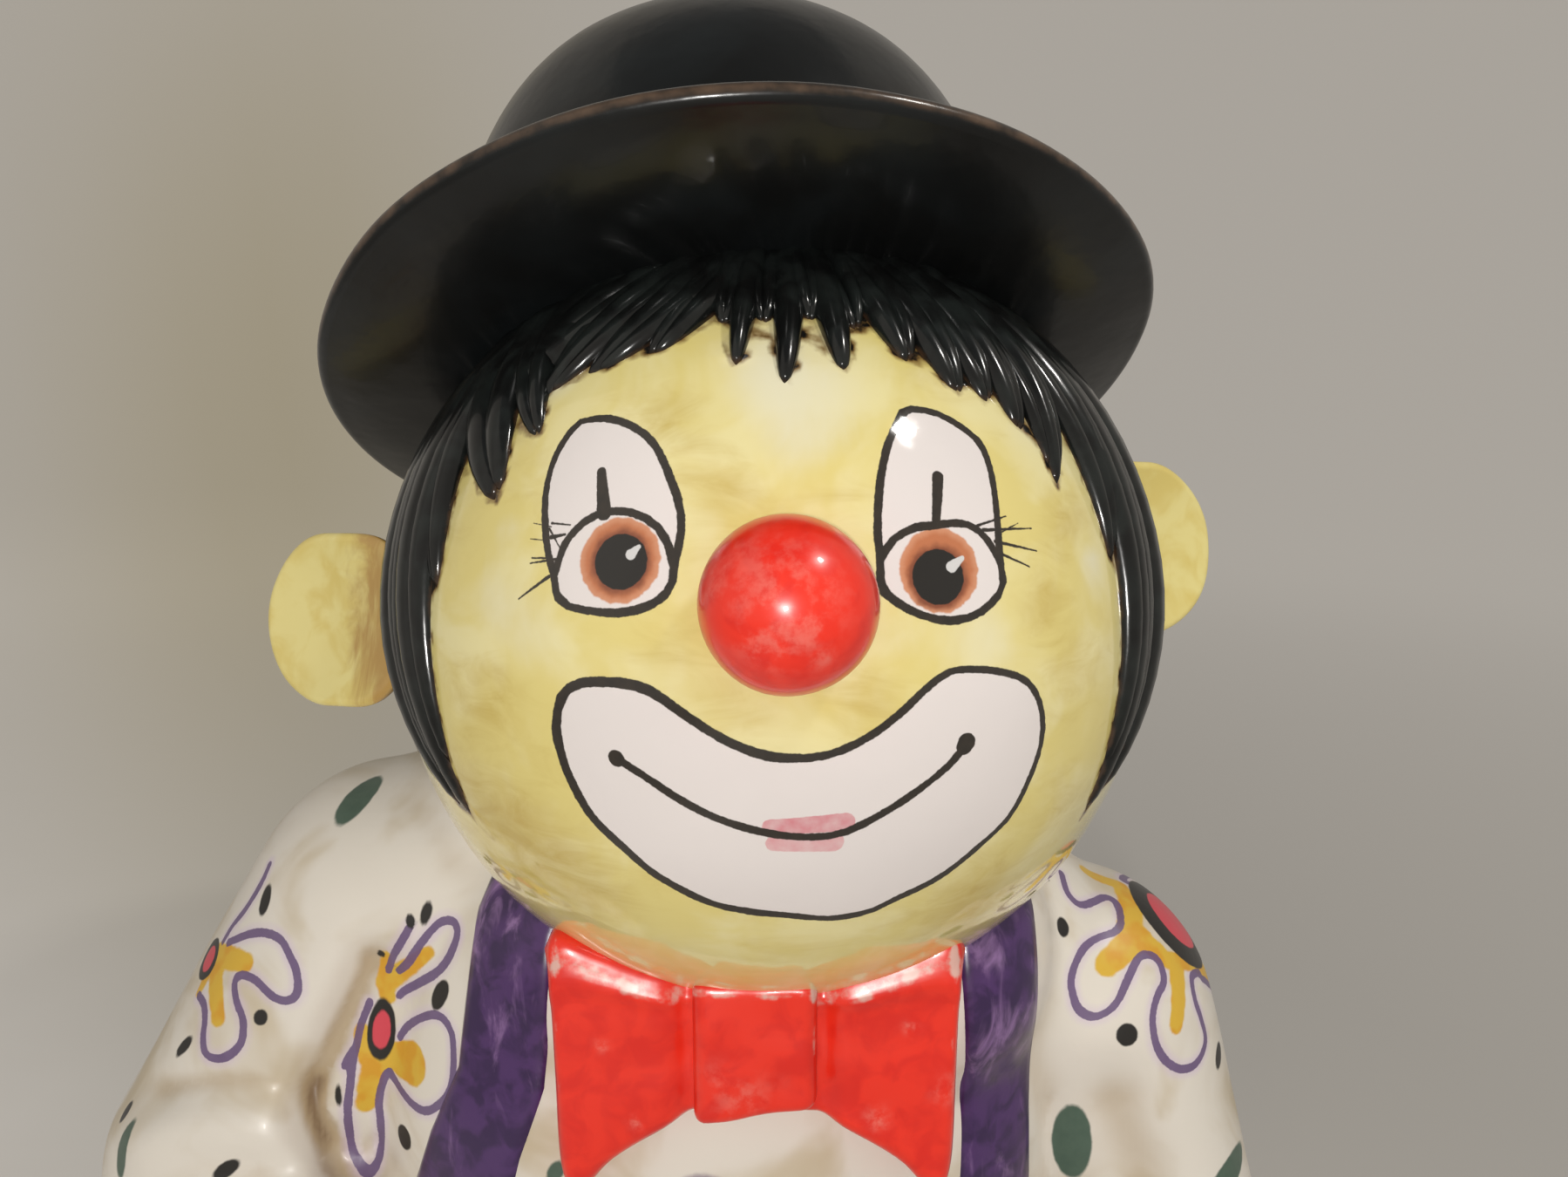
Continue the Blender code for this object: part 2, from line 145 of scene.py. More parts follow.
MOUTH = ((638, 834), (645, 798), (667, 783), (707, 783), (743, 791), (783, 818), (828, 847), (872, 865),
         (913, 870), (953, 865), (997, 845), (1033, 818), (1064, 789), (1091, 770), (1127, 768),
         (1163, 774), (1185, 789), (1196, 820), (1194, 856), (1180, 896), (1158, 937), (1122, 972),
         (1078, 1006), (1029, 1030), (997, 1045), (953, 1053), (908, 1050), (864, 1046), (819, 1037),
         (783, 1021), (747, 999), (712, 968), (680, 937), (658, 901), (645, 870))
SMILE = ((706, 869), (739, 890), (783, 919), (828, 941), (872, 954), (917, 960), (962, 957),
         (1006, 937), (1051, 908), (1091, 876), (1109, 853))
IRISES = ((710.5, 642.4), (1078.8, 653.6))
PUPILS = ((712.2, 644.2), (1077.0, 661.6))
DRAWN_REACH = 45.0
FAR_OFF = 50.0
IRIS_RADIUS = 3.5
PUPIL_RADIUS = 2.28

# Short pen strokes: start, end, and the width at each, in pixels of the photograph
PEN_STROKES = (
    ((690, 541), (693, 588), 12, 19), ((1076, 547), (1074, 598), 15, 11),
    ((633, 600), (654, 602), 3, 2), ((632, 616), (648, 613), 6, 3), ((630, 606), (642, 628), 3, 2),
    ((640, 641), (608, 646), 4, 2), ((630, 661), (595, 687), 5, 2), ((628, 640), (610, 640), 3, 2),
    ((630, 620), (608, 618), 2, 1), ((632, 604), (612, 600), 2, 1), ((1121, 603), (1154, 592), 4, 2),
    ((1128, 608), (1183, 606), 5, 2), ((1142, 621), (1189, 632), 5, 2),
    ((1146, 634), (1181, 650), 4, 2), ((1146, 612), (1168, 600), 3, 1),
    ((706, 869), (708, 871), 19, 19), ((1109, 852), (1107, 856), 24, 22),
)

# Brushed zones: middle and radius in pixels, positive where the ochre is thick, negative where
# the white body shows through
BRUSHED_ZONES = (
    ((770, 475), 60, 0.5), ((830, 560), 55, 0.45), ((590, 560), 60, 0.35), ((520, 640), 50, 0.25),
    ((1195, 690), 42, 0.5), ((1230, 600), 50, 0.55), ((1090, 430), 70, 0.35), ((1150, 440), 40, 0.3),
    ((560, 800), 70, 0.5), ((600, 960), 80, 0.75), ((690, 1030), 70, 0.5), ((1110, 1040), 80, 0.75),
    ((1220, 930), 60, 0.4), ((900, 1090), 90, 0.15), ((850, 830), 60, 0.35), ((1000, 810), 50, 0.5),
    ((960, 560), 50, 0.3), ((1230, 770), 60, 0.35), ((770, 740), 55, 0.3), ((530, 900), 60, 0.35),
    ((900, 430), 85, -0.6), ((920, 520), 55, -0.35), ((640, 430), 40, -0.7), ((1190, 490), 45, -0.6),
    ((585, 600), 30, -0.5), ((560, 690), 55, -0.35), ((1250, 640), 30, -0.6), ((650, 1080), 50, -0.3),
    ((1130, 730), 60, -0.35), ((610, 740), 55, -0.3), ((780, 1085), 60, -0.25),
    ((1020, 740), 40, -0.25),
)


def on_front(x, y, centre=HEAD_CENTRE, radius=HEAD_RADIUS):
    """Where the sight line through a pixel first meets a ball, the head if no other is named."""
    ahead = sight(x, y)
    away = CAMERA_PLACE - centre
    level = away.dot(ahead)
    depth = -level - math.sqrt(max(0.0, level * level - away.length_squared + radius * radius))
    return CAMERA_PLACE + ahead * depth


def pixel_size(place):
    """The size of a pixel at a place, in metres."""
    return (CAMERA_PLACE - place).length / FOCAL_PIXELS


def gaps_to(places, middle):
    """How far each place is from one point."""
    return np.linalg.norm(places - np.array(middle), axis=1)


def bell(value):
    """1 where the value is 0, falling softly away on both sides."""
    return np.exp(-np.square(value))


def unrolled(places):
    """Places on the head, unrolled round the middle of the face: millimetres right and up."""
    away = (np.array(places, float).reshape(-1, 3) - np.array(HEAD_CENTRE))
    away /= np.linalg.norm(away, axis=1)[:, None]
    towards = np.clip(away @ -np.array(AHEAD), -1.0, 1.0)
    across = np.stack([away @ np.array(RIGHT), away @ np.array(UP)], axis=1)
    spread = np.linalg.norm(across, axis=1).clip(1e-9)
    return across * (np.arccos(towards) / spread)[:, None] * HEAD_RADIUS / MM


def drawn(pixels):
    """A list of the photograph's pixels as places on the unrolled face."""
    return unrolled([on_front(x, y) for x, y in pixels])


def smooth_line(points, closed, steps=8):
    """A smooth line through these points, as many short straight ones."""
    points = np.array(points, float)
    if closed:
        padded = np.concatenate([points[-1:], points, points[:2]])
    else:
        padded = np.concatenate([2 * points[:1] - points[1:2], points, 2 * points[-1:] - points[-2:-1]])
    line = []
    for a, b, c, d in zip(padded, padded[1:], padded[2:], padded[3:]):
        for s in np.arange(steps) / steps:
            line.append(0.5 * (2 * b + (c - a) * s + (2 * a - 5 * b + 4 * c - d) * s ** 2
                               + (3 * b - a - 3 * c + d) * s ** 3))
    return np.array(line if closed else line + [points[-1]])


def offsets(places, line, closed):
    """How far each place is from a line, negative inside a closed line or to the right of an open
    one, and how far along the line it lies."""
    starts = line if closed else line[:-1]
    steps = (np.roll(line, -1, axis=0) if closed else line[1:]) - starts
    lengths = np.linalg.norm(steps, axis=1).clip(1e-9)
    before = np.concatenate([[0.0], np.cumsum(lengths)[:-1]])
    away = places[:, None, :] - starts[None, :, :]
    share = (away * steps).sum(axis=2) / lengths ** 2
    lowest = np.zeros(len(steps))
    highest = np.ones(len(steps))
    if not closed:
        lowest[0] = -1e3
        highest[-1] = 1e3
    share = np.clip(share, lowest, highest)
    gaps = np.linalg.norm(away - share[:, :, None] * steps, axis=2)
    nearest = gaps.argmin(axis=1)
    rows = np.arange(len(places))
    side = steps[nearest, 0] * away[rows, nearest, 1] - steps[nearest, 1] * away[rows, nearest, 0]
    sign = np.sign(side)
    if closed:
        ends = starts + steps
        above = (starts[:, 1] > places[:, 1:2]) != (ends[:, 1] > places[:, 1:2])
        rise = np.where(np.abs(steps[:, 1]) < 1e-12, 1e-12, steps[:, 1])
        reach = starts[:, 0] + (places[:, 1:2] - starts[:, 1]) / rise * steps[:, 0]
        inside = (above & (places[:, 0:1] < reach)).sum(axis=1) % 2 == 1
        sign = np.where(inside, -1.0, 1.0)
    return sign * gaps[rows, nearest], before[nearest] + share[rows, nearest] * lengths[nearest]


def places_of(mesh):
    """The mesh's vertices as an array."""
    places = np.zeros(len(mesh.vertices) * 3)
    mesh.vertices.foreach_get("co", places)
    return places.reshape(-1, 3)


def normals_of(mesh):
    """The way out at each of the mesh's vertices."""
    normals = np.zeros(len(mesh.vertices) * 3)
    mesh.vertices.foreach_get("normal", normals)
    return normals.reshape(-1, 3)


def note_on(mesh, name, values):
    """Stores one number for each vertex, or one place, for the material to read."""
    values = np.asarray(values, np.float32)
    if values.ndim == 1:
        mesh.attributes.new(name, "FLOAT", "POINT").data.foreach_set("value", values)
    else:
        mesh.attributes.new(name, "FLOAT_VECTOR", "POINT").data.foreach_set("vector", values.ravel())


def casting(form, name, material):
    """Turns a form into a smooth piece of the casting with its glaze."""
    mesh = bpy.data.meshes.new(name)
    form.to_mesh(mesh)
    form.free()
    mesh.materials.append(material)
    mesh.shade_smooth()
    piece = set_out(name, mesh)
    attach(piece, "root")
    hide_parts("clown_bust")
    return piece


def paint(levels):
    """A colour given by its red, green and blue levels from 0 to 255, as a shader takes it."""
    shares = [level / 255 for level in levels]
    return (*[s / 12.92 if s <= 0.04045 else ((s + 0.055) / 1.055) ** 2.4 for s in shares], 1.0)


def node(tree, kind, inputs=(), **settings):
    """A shader node with its settings. Each input is a value or the output that feeds it."""
    made = tree.nodes.new("ShaderNode" + kind)
    for name, value in settings.items():
        setattr(made, name, value)
    for socket, value in dict(inputs).items():
        if isinstance(value, bpy.types.NodeSocket):
            tree.links.new(value, made.inputs[socket])
        else:
            made.inputs[socket].default_value = value
    return made


def maths(tree, operation, *values):
    """The result of one sum on values or outputs."""
    return node(tree, "Math", dict(enumerate(values)), operation=operation).outputs[0]


def scaled(tree, value, factor, added):
    """A value times a factor, and something added."""
    return maths(tree, "MULTIPLY_ADD", value, factor, added)


def times(tree, first, second):
    """One value times another."""
    return maths(tree, "MULTIPLY", first, second)


def vectors(tree, operation, *values):
    """The result of one sum on places."""
    made = node(tree, "VectorMath", dict(enumerate(values)), operation=operation)
    return made.outputs["Value" if operation in ("DISTANCE", "DOT_PRODUCT", "LENGTH") else "Vector"]


def fade(tree, value, start, end):
    """Rises softly from 0 where the value is start to 1 where it is end."""
    inputs = {"Value": value, "From Min": start, "From Max": end}
    return node(tree, "MapRange", inputs, interpolation_type="SMOOTHSTEP").outputs[0]


def over(tree, mask, below, above):
    """One coat of colour over another where the mask says. A coat is an output or its levels."""
    below, above = (paint(coat) if isinstance(coat, tuple) else coat for coat in (below, above))
    inputs = {0: mask, 6: below, 7: above}
    return node(tree, "Mix", inputs, data_type="RGBA").outputs[2]


def layer(tree, value, start, end, below, above):
    """One coat over another, from where the value is start to where it is end."""
    return over(tree, fade(tree, value, start, end), below, above)


def speckle(tree, place, scale, detail=2.0, roughness=0.5, distortion=0.0):
    """Noise from 0 to 1 at this many waves a millimetre."""
    inputs = {"Vector": place, "Scale": scale, "Detail": detail, "Roughness": roughness,
              "Distortion": distortion}
    return node(tree, "TexNoise", inputs).outputs[0]


def noted(tree, name, output="Fac"):
    """What the mesh stores under this name."""
    return node(tree, "Attribute", attribute_name=name).outputs[output]


def in_millimetres(tree):
    """The place on the bust, in millimetres."""
    return node(tree, "VectorMath", {0: node(tree, "TexCoord").outputs["Object"], "Scale": 1.0 / MM},
                operation="SCALE").outputs[0]


def effect(name, inputs, outputs):
    """A new effect for several materials: its tree, what comes in and what goes out."""
    tree = bpy.data.node_groups.new(name, "ShaderNodeTree")
    for socket, kind in inputs:
        tree.interface.new_socket(name=socket, in_out="INPUT", socket_type="NodeSocket" + kind)
    for socket, kind in outputs:
        tree.interface.new_socket(name=socket, in_out="OUTPUT", socket_type="NodeSocket" + kind)
    return tree, tree.nodes.new("NodeGroupInput").outputs, tree.nodes.new("NodeGroupOutput").inputs


def apply_effect(tree, group, **inputs):
    """Places an effect in a material."""
    named = {name.replace("_", " "): value for name, value in inputs.items()}
    return node(tree, "Group", named, node_tree=group).outputs


def glazed(name, roughness=0.1, ripple=0.012, coat=0.6):
    """A material with a clear fired glaze: its tree, its shader and the glaze's place."""
    material = bpy.data.materials.new(name)
    material.use_nodes = True
    tree = material.node_tree
    shader = tree.nodes["Principled BSDF"]
    shader.inputs["Metallic"].default_value = 0.0
    shader.inputs["IOR"].default_value = 1.5
    shader.inputs["Coat Weight"].default_value = coat
    shader.inputs["Coat Roughness"].default_value = 0.04
    place = in_millimetres(tree)
    glaze = apply_effect(tree, GLAZE, Place=place)
    bump = node(tree, "Bump",
                {"Strength": 1.0, "Distance": ripple * MM * 10, "Height": glaze["Height"]})
    tree.links.new(bump.outputs[0], shader.inputs["Normal"])
    spread = node(tree, "MapRange",
                  {"Value": glaze["Smears"], "To Min": roughness, "To Max": roughness + 0.05})
    tree.links.new(spread.outputs[0], shader.inputs["Roughness"])
    return material, tree, shader, place


# Effects: the glaze's ripples and pinholes, a pen line, a pen stroke and brushed paint
GLAZE, come, go = effect(
    "glaze_skin", [("Place", "Vector")], [("Height", "Float"), ("Smears", "Float")])
ripples = speckle(GLAZE, come["Place"], 0.16, 2.0)
pores = speckle(GLAZE, come["Place"], 0.9, 1.0)
raised = scaled(GLAZE, pores, 0.10, ripples)
GLAZE.links.new(raised, go["Height"])
GLAZE.links.new(speckle(GLAZE, come["Place"], 0.11, 3.0), go["Smears"])

PEN_LINE, come, go = effect(
    "pen_line", [("Place", "Vector"), ("Distance", "Float"), ("Width", "Float")], [("Mask", "Float")])
shaky = scaled(PEN_LINE, speckle(PEN_LINE, come["Place"], 0.35, 2.0), 0.6, 0.72)
ragged = scaled(PEN_LINE, speckle(PEN_LINE, come["Place"], 2.6, 3.0), 0.16, -0.08)
half = times(PEN_LINE, times(PEN_LINE, come["Width"], shaky), 0.5)
edge = maths(PEN_LINE, "SUBTRACT", maths(PEN_LINE, "ADD", half, ragged),
             maths(PEN_LINE, "ABSOLUTE", come["Distance"]))
PEN_LINE.links.new(fade(PEN_LINE, edge, -0.04, 0.06), go["Mask"])

PEN_STROKE, come, go = effect(
    "pen_stroke", [("Place", "Vector"), ("Start", "Vector"), ("End", "Vector"),
                   ("Start Width", "Float"), ("End Width", "Float")], [("Mask", "Float")])
run = vectors(PEN_STROKE, "SUBTRACT", come["End"], come["Start"])
away = vectors(PEN_STROKE, "SUBTRACT", come["Place"], come["Start"])
share = maths(PEN_STROKE, "DIVIDE", vectors(PEN_STROKE, "DOT_PRODUCT", away, run),
              vectors(PEN_STROKE, "DOT_PRODUCT", run, run))
share = node(PEN_STROKE, "Clamp", {"Value": share}).outputs[0]
beside = node(PEN_STROKE, "VectorMath", {0: run, "Scale": share}, operation="SCALE").outputs[0]
gap = vectors(PEN_STROKE, "DISTANCE", away, beside)
width = node(PEN_STROKE, "MapRange",
             {"Value": share, "To Min": come["Start Width"], "To Max": come["End Width"]})
ragged = scaled(PEN_STROKE, speckle(PEN_STROKE, come["Place"], 2.6, 3.0), 0.14, -0.07)
edge = maths(PEN_STROKE, "SUBTRACT", scaled(PEN_STROKE, width.outputs[0], 0.5, ragged), gap)
PEN_STROKE.links.new(fade(PEN_STROKE, edge, -0.05, 0.05), go["Mask"])

BRUSHED, come, go = effect(
    "brushed_paint", [("Place", "Vector"), ("Stretch", "Vector"), ("Scale", "Float")],
    [("Wash", "Float"), ("Streaks", "Float")])
lying = vectors(BRUSHED, "MULTIPLY", come["Place"], come["Stretch"])
broad = node(BRUSHED, "TexNoise",
             {"Vector": come["Place"], "Scale": come["Scale"], "Detail": 3.0, "Distortion": 0.6})
fine = node(BRUSHED, "TexNoise",
            {"Vector": lying, "Scale": come["Scale"], "Detail": 4.0, "Roughness": 0.6,
                                  "Distortion": 0.9})
BRUSHED.links.new(broad.outputs[0], go["Wash"])
BRUSHED.links.new(fine.outputs[0], go["Streaks"])


def pen_stroke(tree, flat, start, end, first, last):
    """Mask of a stroke from one pixel to another, with its width in pixels at both."""
    (x0, y0), (x1, y1) = drawn((start, end))
    size = pixel_size(on_front(*start)) / MM
    return apply_effect(tree, PEN_STROKE, Place=flat, Start=(x0, y0, 0.0), End=(x1, y1, 0.0),
                        Start_Width=first * size, End_Width=last * size)["Mask"]


def pen_line(tree, place, distance, width):
    """Mask of a pen line where this distance is nothing."""
    return apply_effect(tree, PEN_LINE, Place=place, Distance=distance, Width=width)["Mask"]


def brushed(tree, place, stretch, scale, start, end, thin, thick):
    """Paint brushed on: its marks, and its colour from thin to thick."""
    brush = apply_effect(tree, BRUSHED, Place=place, Stretch=stretch, Scale=scale)
    return brush, layer(tree, brush["Wash"], start, end, thin, thick)


def lumpy_ball(radius, depth):
    """A ball of clay that was rolled by hand."""
    form = bmesh.new()
    bmesh.ops.create_icosphere(form, subdivisions=BALL_DETAIL, radius=radius)
    for vert in form.verts:
        vert.co += vert.co.normalized() * noise.noise(vert.co / HAND_WAVE) * depth
    return form


form = lumpy_ball(HEAD_RADIUS, HAND_DEPTH)
bmesh.ops.translate(form, verts=form.verts[:], vec=HEAD_CENTRE)

skin, tree, shader, place = glazed("skin_glaze", roughness=0.05, ripple=0.010)
flat = noted(tree, "unrolled", "Vector")
swirls = apply_effect(tree, BRUSHED, Place=place, Stretch=(0.5, 1.0, 1.6), Scale=0.24)
brush, colour = brushed(tree, place, (1.0, 1.0, 0.35), 0.11, 0.34, 0.62, SKIN_PALE, SKIN_YELLOW)
zone = noted(tree, "brushed_zone")
thick = scaled(tree, swirls["Streaks"], 1.1, maths(tree, "SUBTRACT", zone, 0.72))
colour = layer(tree, thick, -0.18, 0.90, colour, SKIN_OCHRE)
bare = maths(tree, "SUBTRACT", times(tree, brush["Streaks"], 0.5), zone)
colour = layer(tree, bare, 0.28, 0.95, colour, SKIN_BARE)
eye = noted(tree, "eye")
mouth = noted(tree, "mouth")
white = maths(tree, "MAXIMUM", fade(tree, eye, 0.1, -0.1), fade(tree, mouth, 0.1, -0.1))
colour = over(tree, white, colour, FACE_WHITE)

lid = noted(tree, "lid")
below_lid = times(tree, fade(tree, lid, 0.05, -0.05), fade(tree, eye, 0.1, -0.1))
for (iris_x, iris_y), (pupil_x, pupil_y) in zip(drawn(IRISES), drawn(PUPILS)):
    from_iris = vectors(tree, "DISTANCE", flat, (iris_x, iris_y, 0.0))
    spokes = vectors(tree, "NORMALIZE", vectors(tree, "SUBTRACT", flat, (iris_x, iris_y, 0.0)))
    uneven = scaled(tree, speckle(tree, spokes, 3.2, 3.0), 0.7, -0.35)
    blotch = scaled(tree, speckle(tree, flat, 0.9, 2.0), 0.8, -0.4)
    radius = maths(tree, "ADD", from_iris, uneven)
    tinted = layer(tree, radius, IRIS_RADIUS - 0.1, IRIS_RADIUS - 0.75, IRIS_RIM, IRIS_ORANGE)
    from_pupil = vectors(tree, "DISTANCE", flat, (pupil_x, pupil_y, 0.0))
    ring = maths(tree, "ADD", from_pupil, blotch)
    tinted = layer(tree, ring, PUPIL_RADIUS + 0.75, PUPIL_RADIUS, tinted, IRIS_BROWN)
    tinted = layer(tree, scaled(tree, uneven, 0.35, from_pupil), PUPIL_RADIUS + 0.06,
                   PUPIL_RADIUS - 0.06, tinted, PEN_BLACK)
    mask = times(tree, fade(tree, radius, IRIS_RADIUS + 0.12, IRIS_RADIUS - 0.1), below_lid)
    colour = over(tree, mask, colour, tinted)

# The white glints left in the pupils, and the two strokes of rose on the lips
for start, end, first, last, tone in (((724, 636), (733, 627), 13, 5, PUPIL_GREY),
                                      ((1092, 650), (1104, 640), 14, 6, PUPIL_GREY),
                                      ((884, 949), (970, 943), 20, 24, LIP_ROSE),
                                      ((888, 968), (956, 966), 20, 26, LIP_SOFT)):
    mask = pen_stroke(tree, flat, start, end, first, last)
    if tone != PUPIL_GREY:
        mask = times(tree, mask, scaled(tree, speckle(tree, flat, 0.8, 3.0), 0.9, 0.25))
    colour = over(tree, mask, colour, tone)

ink = pen_line(tree, place, eye, 0.72)
lid_ink = pen_line(tree, place, lid, 0.70)
ink = maths(tree, "MAXIMUM", ink, times(tree, lid_ink, fade(tree, eye, 0.3, 0.1)))
rightward = node(tree, "SeparateXYZ", {0: flat}).outputs[0]
pressed = scaled(tree, rightward, -0.007, 0.80)
ink = maths(tree, "MAXIMUM", ink, pen_line(tree, place, mouth, pressed))
smile_ink = pen_line(tree, place, noted(tree, "smile"), 0.72)
along = noted(tree, "smile_along")
smile_line = smooth_line(drawn(SMILE), False)
smile_length = float(np.linalg.norm(np.diff(smile_line, axis=0), axis=1).sum())
within = times(tree, maths(tree, "GREATER_THAN", along, 0.0),
               maths(tree, "LESS_THAN", along, smile_length))
smile_ink = times(tree, smile_ink, within)
ink = maths(tree, "MAXIMUM", ink, smile_ink)
for start, end, first, last in PEN_STROKES:
    ink = maths(tree, "MAXIMUM", ink, pen_stroke(tree, flat, start, end, first, last))
worn_ink = over(tree, speckle(tree, place, 1.4, 2.0), PEN_BLACK, PEN_BROWN)
colour = over(tree, ink, colour, worn_ink)
hair_gap = noted(tree, "hair_gap")
# Brown, then black, on the skin near the hair: black glaze run onto it, and painted shade by the locks
hair_run_and_shade = scaled(tree, speckle(tree, place, 0.8, 3.0), 0.7, hair_gap)
colour = layer(tree, hair_run_and_shade, 1.0, 0.5, colour, HAIR_RUN_AND_SHADE_BROWN)
colour = layer(tree, hair_run_and_shade, 0.62, 0.45, colour, HAIR_RUN_AND_SHADE_BLACK)
tree.links.new(colour, shader.inputs["Base Color"])

face = casting(form, "face", skin)
verts = places_of(face.data)
seen = unrolled(verts)
note_on(face.data, "unrolled", np.column_stack([seen, np.zeros(len(seen))]))
near = np.linalg.norm(seen, axis=1) < DRAWN_REACH
left_half = seen[:, 0] < 0.0
fields = {name: np.full(len(seen), FAR_OFF) for name in ("eye", "lid", "mouth", "smile", "smile_along")}
for half_face, outline, lid_line in ((near & left_half, LEFT_EYE, LEFT_LID),
                                     (near & ~left_half, RIGHT_EYE, RIGHT_LID)):
    fields["eye"][half_face] = offsets(seen[half_face], smooth_line(drawn(outline), True), True)[0]
    fields["lid"][half_face] = offsets(seen[half_face], smooth_line(drawn(lid_line), False), False)[0]
fields["mouth"][near] = offsets(seen[near], smooth_line(drawn(MOUTH), True), True)[0]
fields["smile"][near], fields["smile_along"][near] = offsets(seen[near], smile_line, False)
for name, values in fields.items():
    note_on(face.data, name, values)
zones = np.zeros(len(seen))
for (x, y), radius, strength in BRUSHED_ZONES:
    reach = radius * pixel_size(on_front(x, y)) / MM
    zones += strength * bell(gaps_to(seen, drawn([(x, y)])[0]) / reach)
note_on(face.data, "brushed_zone", zones)

# The nose. A ball of clay luted to the face, dipped in red glaze that has worn pale in places, with a
# painted pale sheen on its upper left.
NOSE_RADIUS = 0.175 * HEAD_RADIUS
NOSE_PLACE = on_ball(2.0, 3.5) * 1.08 * HEAD_RADIUS
GLAZE_RED = (232, 46, 26)
GLAZE_RED_DEEP = (218, 34, 20)
GLAZE_RED_WORN_AND_SHEEN = (228, 120, 108)
GLAZE_RED_THIN = (212, 168, 158)
NOSE_THIN_RIM = 0.8 * MM
# Pale patches on the nose, middle and radius in pixels: wear, and on the upper left a painted sheen
NOSE_SCUFFS_AND_SHEEN = (((832, 622), 34), ((900, 680), 70), ((880, 742), 30), ((815, 665), 22), ((925, 725), 18),
               ((945, 755), 14))

form = lumpy_ball(NOSE_RADIUS, 1.5 * HAND_DEPTH)
bmesh.ops.transform(form, matrix=HEAD_FRAME @ Matrix.Translation(NOSE_PLACE), verts=form.verts[:])

red, tree, shader, place = glazed("red_glaze", roughness=0.26, ripple=0.010, coat=0.3)
_, colour = brushed(tree, place, (1.0, 1.0, 0.4), 0.3, 0.40, 0.66, GLAZE_RED, GLAZE_RED_DEEP)
# Pale patches: worn glaze, and on the nose a painted sheen as well
wear_and_sheen = times(tree, noted(tree, "wear_and_sheen"), fade(tree, speckle(tree, place, 0.45, 5.0, 0.65), 0.42, 0.66))
colour = over(tree, wear_and_sheen, colour, GLAZE_RED_WORN_AND_SHEEN)
thin = noted(tree, "thin")
colour = layer(tree, times(tree, thin, speckle(tree, place, 0.6, 4.0)), 0.36, 0.62, colour,
               GLAZE_RED_THIN)
tree.links.new(colour, shader.inputs["Base Color"])

nose = casting(form, "nose", red)
verts = places_of(nose.data)
nose_middle = HEAD_FRAME @ NOSE_PLACE
scuffs_and_sheen = np.zeros(len(verts))
for (x, y), radius in NOSE_SCUFFS_AND_SHEEN:
    middle = on_front(x, y, nose_middle, NOSE_RADIUS)
    scuffs_and_sheen += bell(gaps_to(verts, middle) / (radius * pixel_size(middle)))
note_on(nose.data, "wear_and_sheen", 0.6 * np.clip(scuffs_and_sheen, 0.0, 1.0))
above_skin = gaps_to(verts, HEAD_CENTRE) - HEAD_RADIUS
note_on(nose.data, "thin", np.clip(1.0 - above_skin / NOSE_THIN_RIM, 0.0, 1.0))

# The ears. Two small cups pinched from balls of clay and pressed to the head, open to the front,
# in the same brushed yellow as the face, with ochre painted shade where they meet the head.
EAR_RADIUS = 0.245 * HEAD_RADIUS
EAR_DEPTH = 0.14 * HEAD_RADIUS
EAR_LIP = 1.2 * MM
EAR_HOLLOW = 1.2 * MM
EAR_TURN = 28.0
# Each ear: its name, its middle in shares of the head's radius, and how far its ochre painted shade
# reaches
EARS = (("left_ear", Vector((-1.26, 0.06, 0.01)), 14.0 * MM),
        ("right_ear", Vector((1.06, 0.06, 0.21)), 7.0 * MM))
EAR_WAVE = 7.0 * MM
EAR_LUMPS = 0.28 * MM
EAR_PALE = (226, 213, 140)
EAR_YELLOW = (216, 196, 112)
EAR_OCHRE_SHADE = (178, 142, 76)
EAR_STEPS = 14


def turned(outline, steps, closed=False):
    """A form turned like a pot from its outline of radii and heights."""
    form = bmesh.new()
    verts = [form.verts.new((radius, 0.0, height)) for radius, height in outline]
    for first, second in zip(verts, verts[1:] + verts[:1] if closed else verts[1:]):
        form.edges.new((first, second))
    bmesh.ops.spin(form, geom=form.verts[:] + form.edges[:], axis=(0, 0, 1), cent=(0, 0, 0),
                   angle=2.0 * math.pi, steps=steps, use_merge=True)
    bmesh.ops.remove_doubles(form, verts=form.verts[:], dist=MERGE)
    return form


cup, tree, shader, place = glazed("ear_glaze", roughness=0.10, ripple=0.012)
brush, colour = brushed(tree, place, (1.0, 1.0, 0.3), 0.22, 0.35, 0.65, EAR_PALE, EAR_YELLOW)
# Ochre painted shade on the part of the cup next to the head
deep = scaled(tree, brush["Streaks"], 1.2, noted(tree, "ochre_shade"))
colour = layer(tree, deep, 0.95, 1.38, colour, EAR_OCHRE_SHADE)
tree.links.new(colour, shader.inputs["Base Color"])

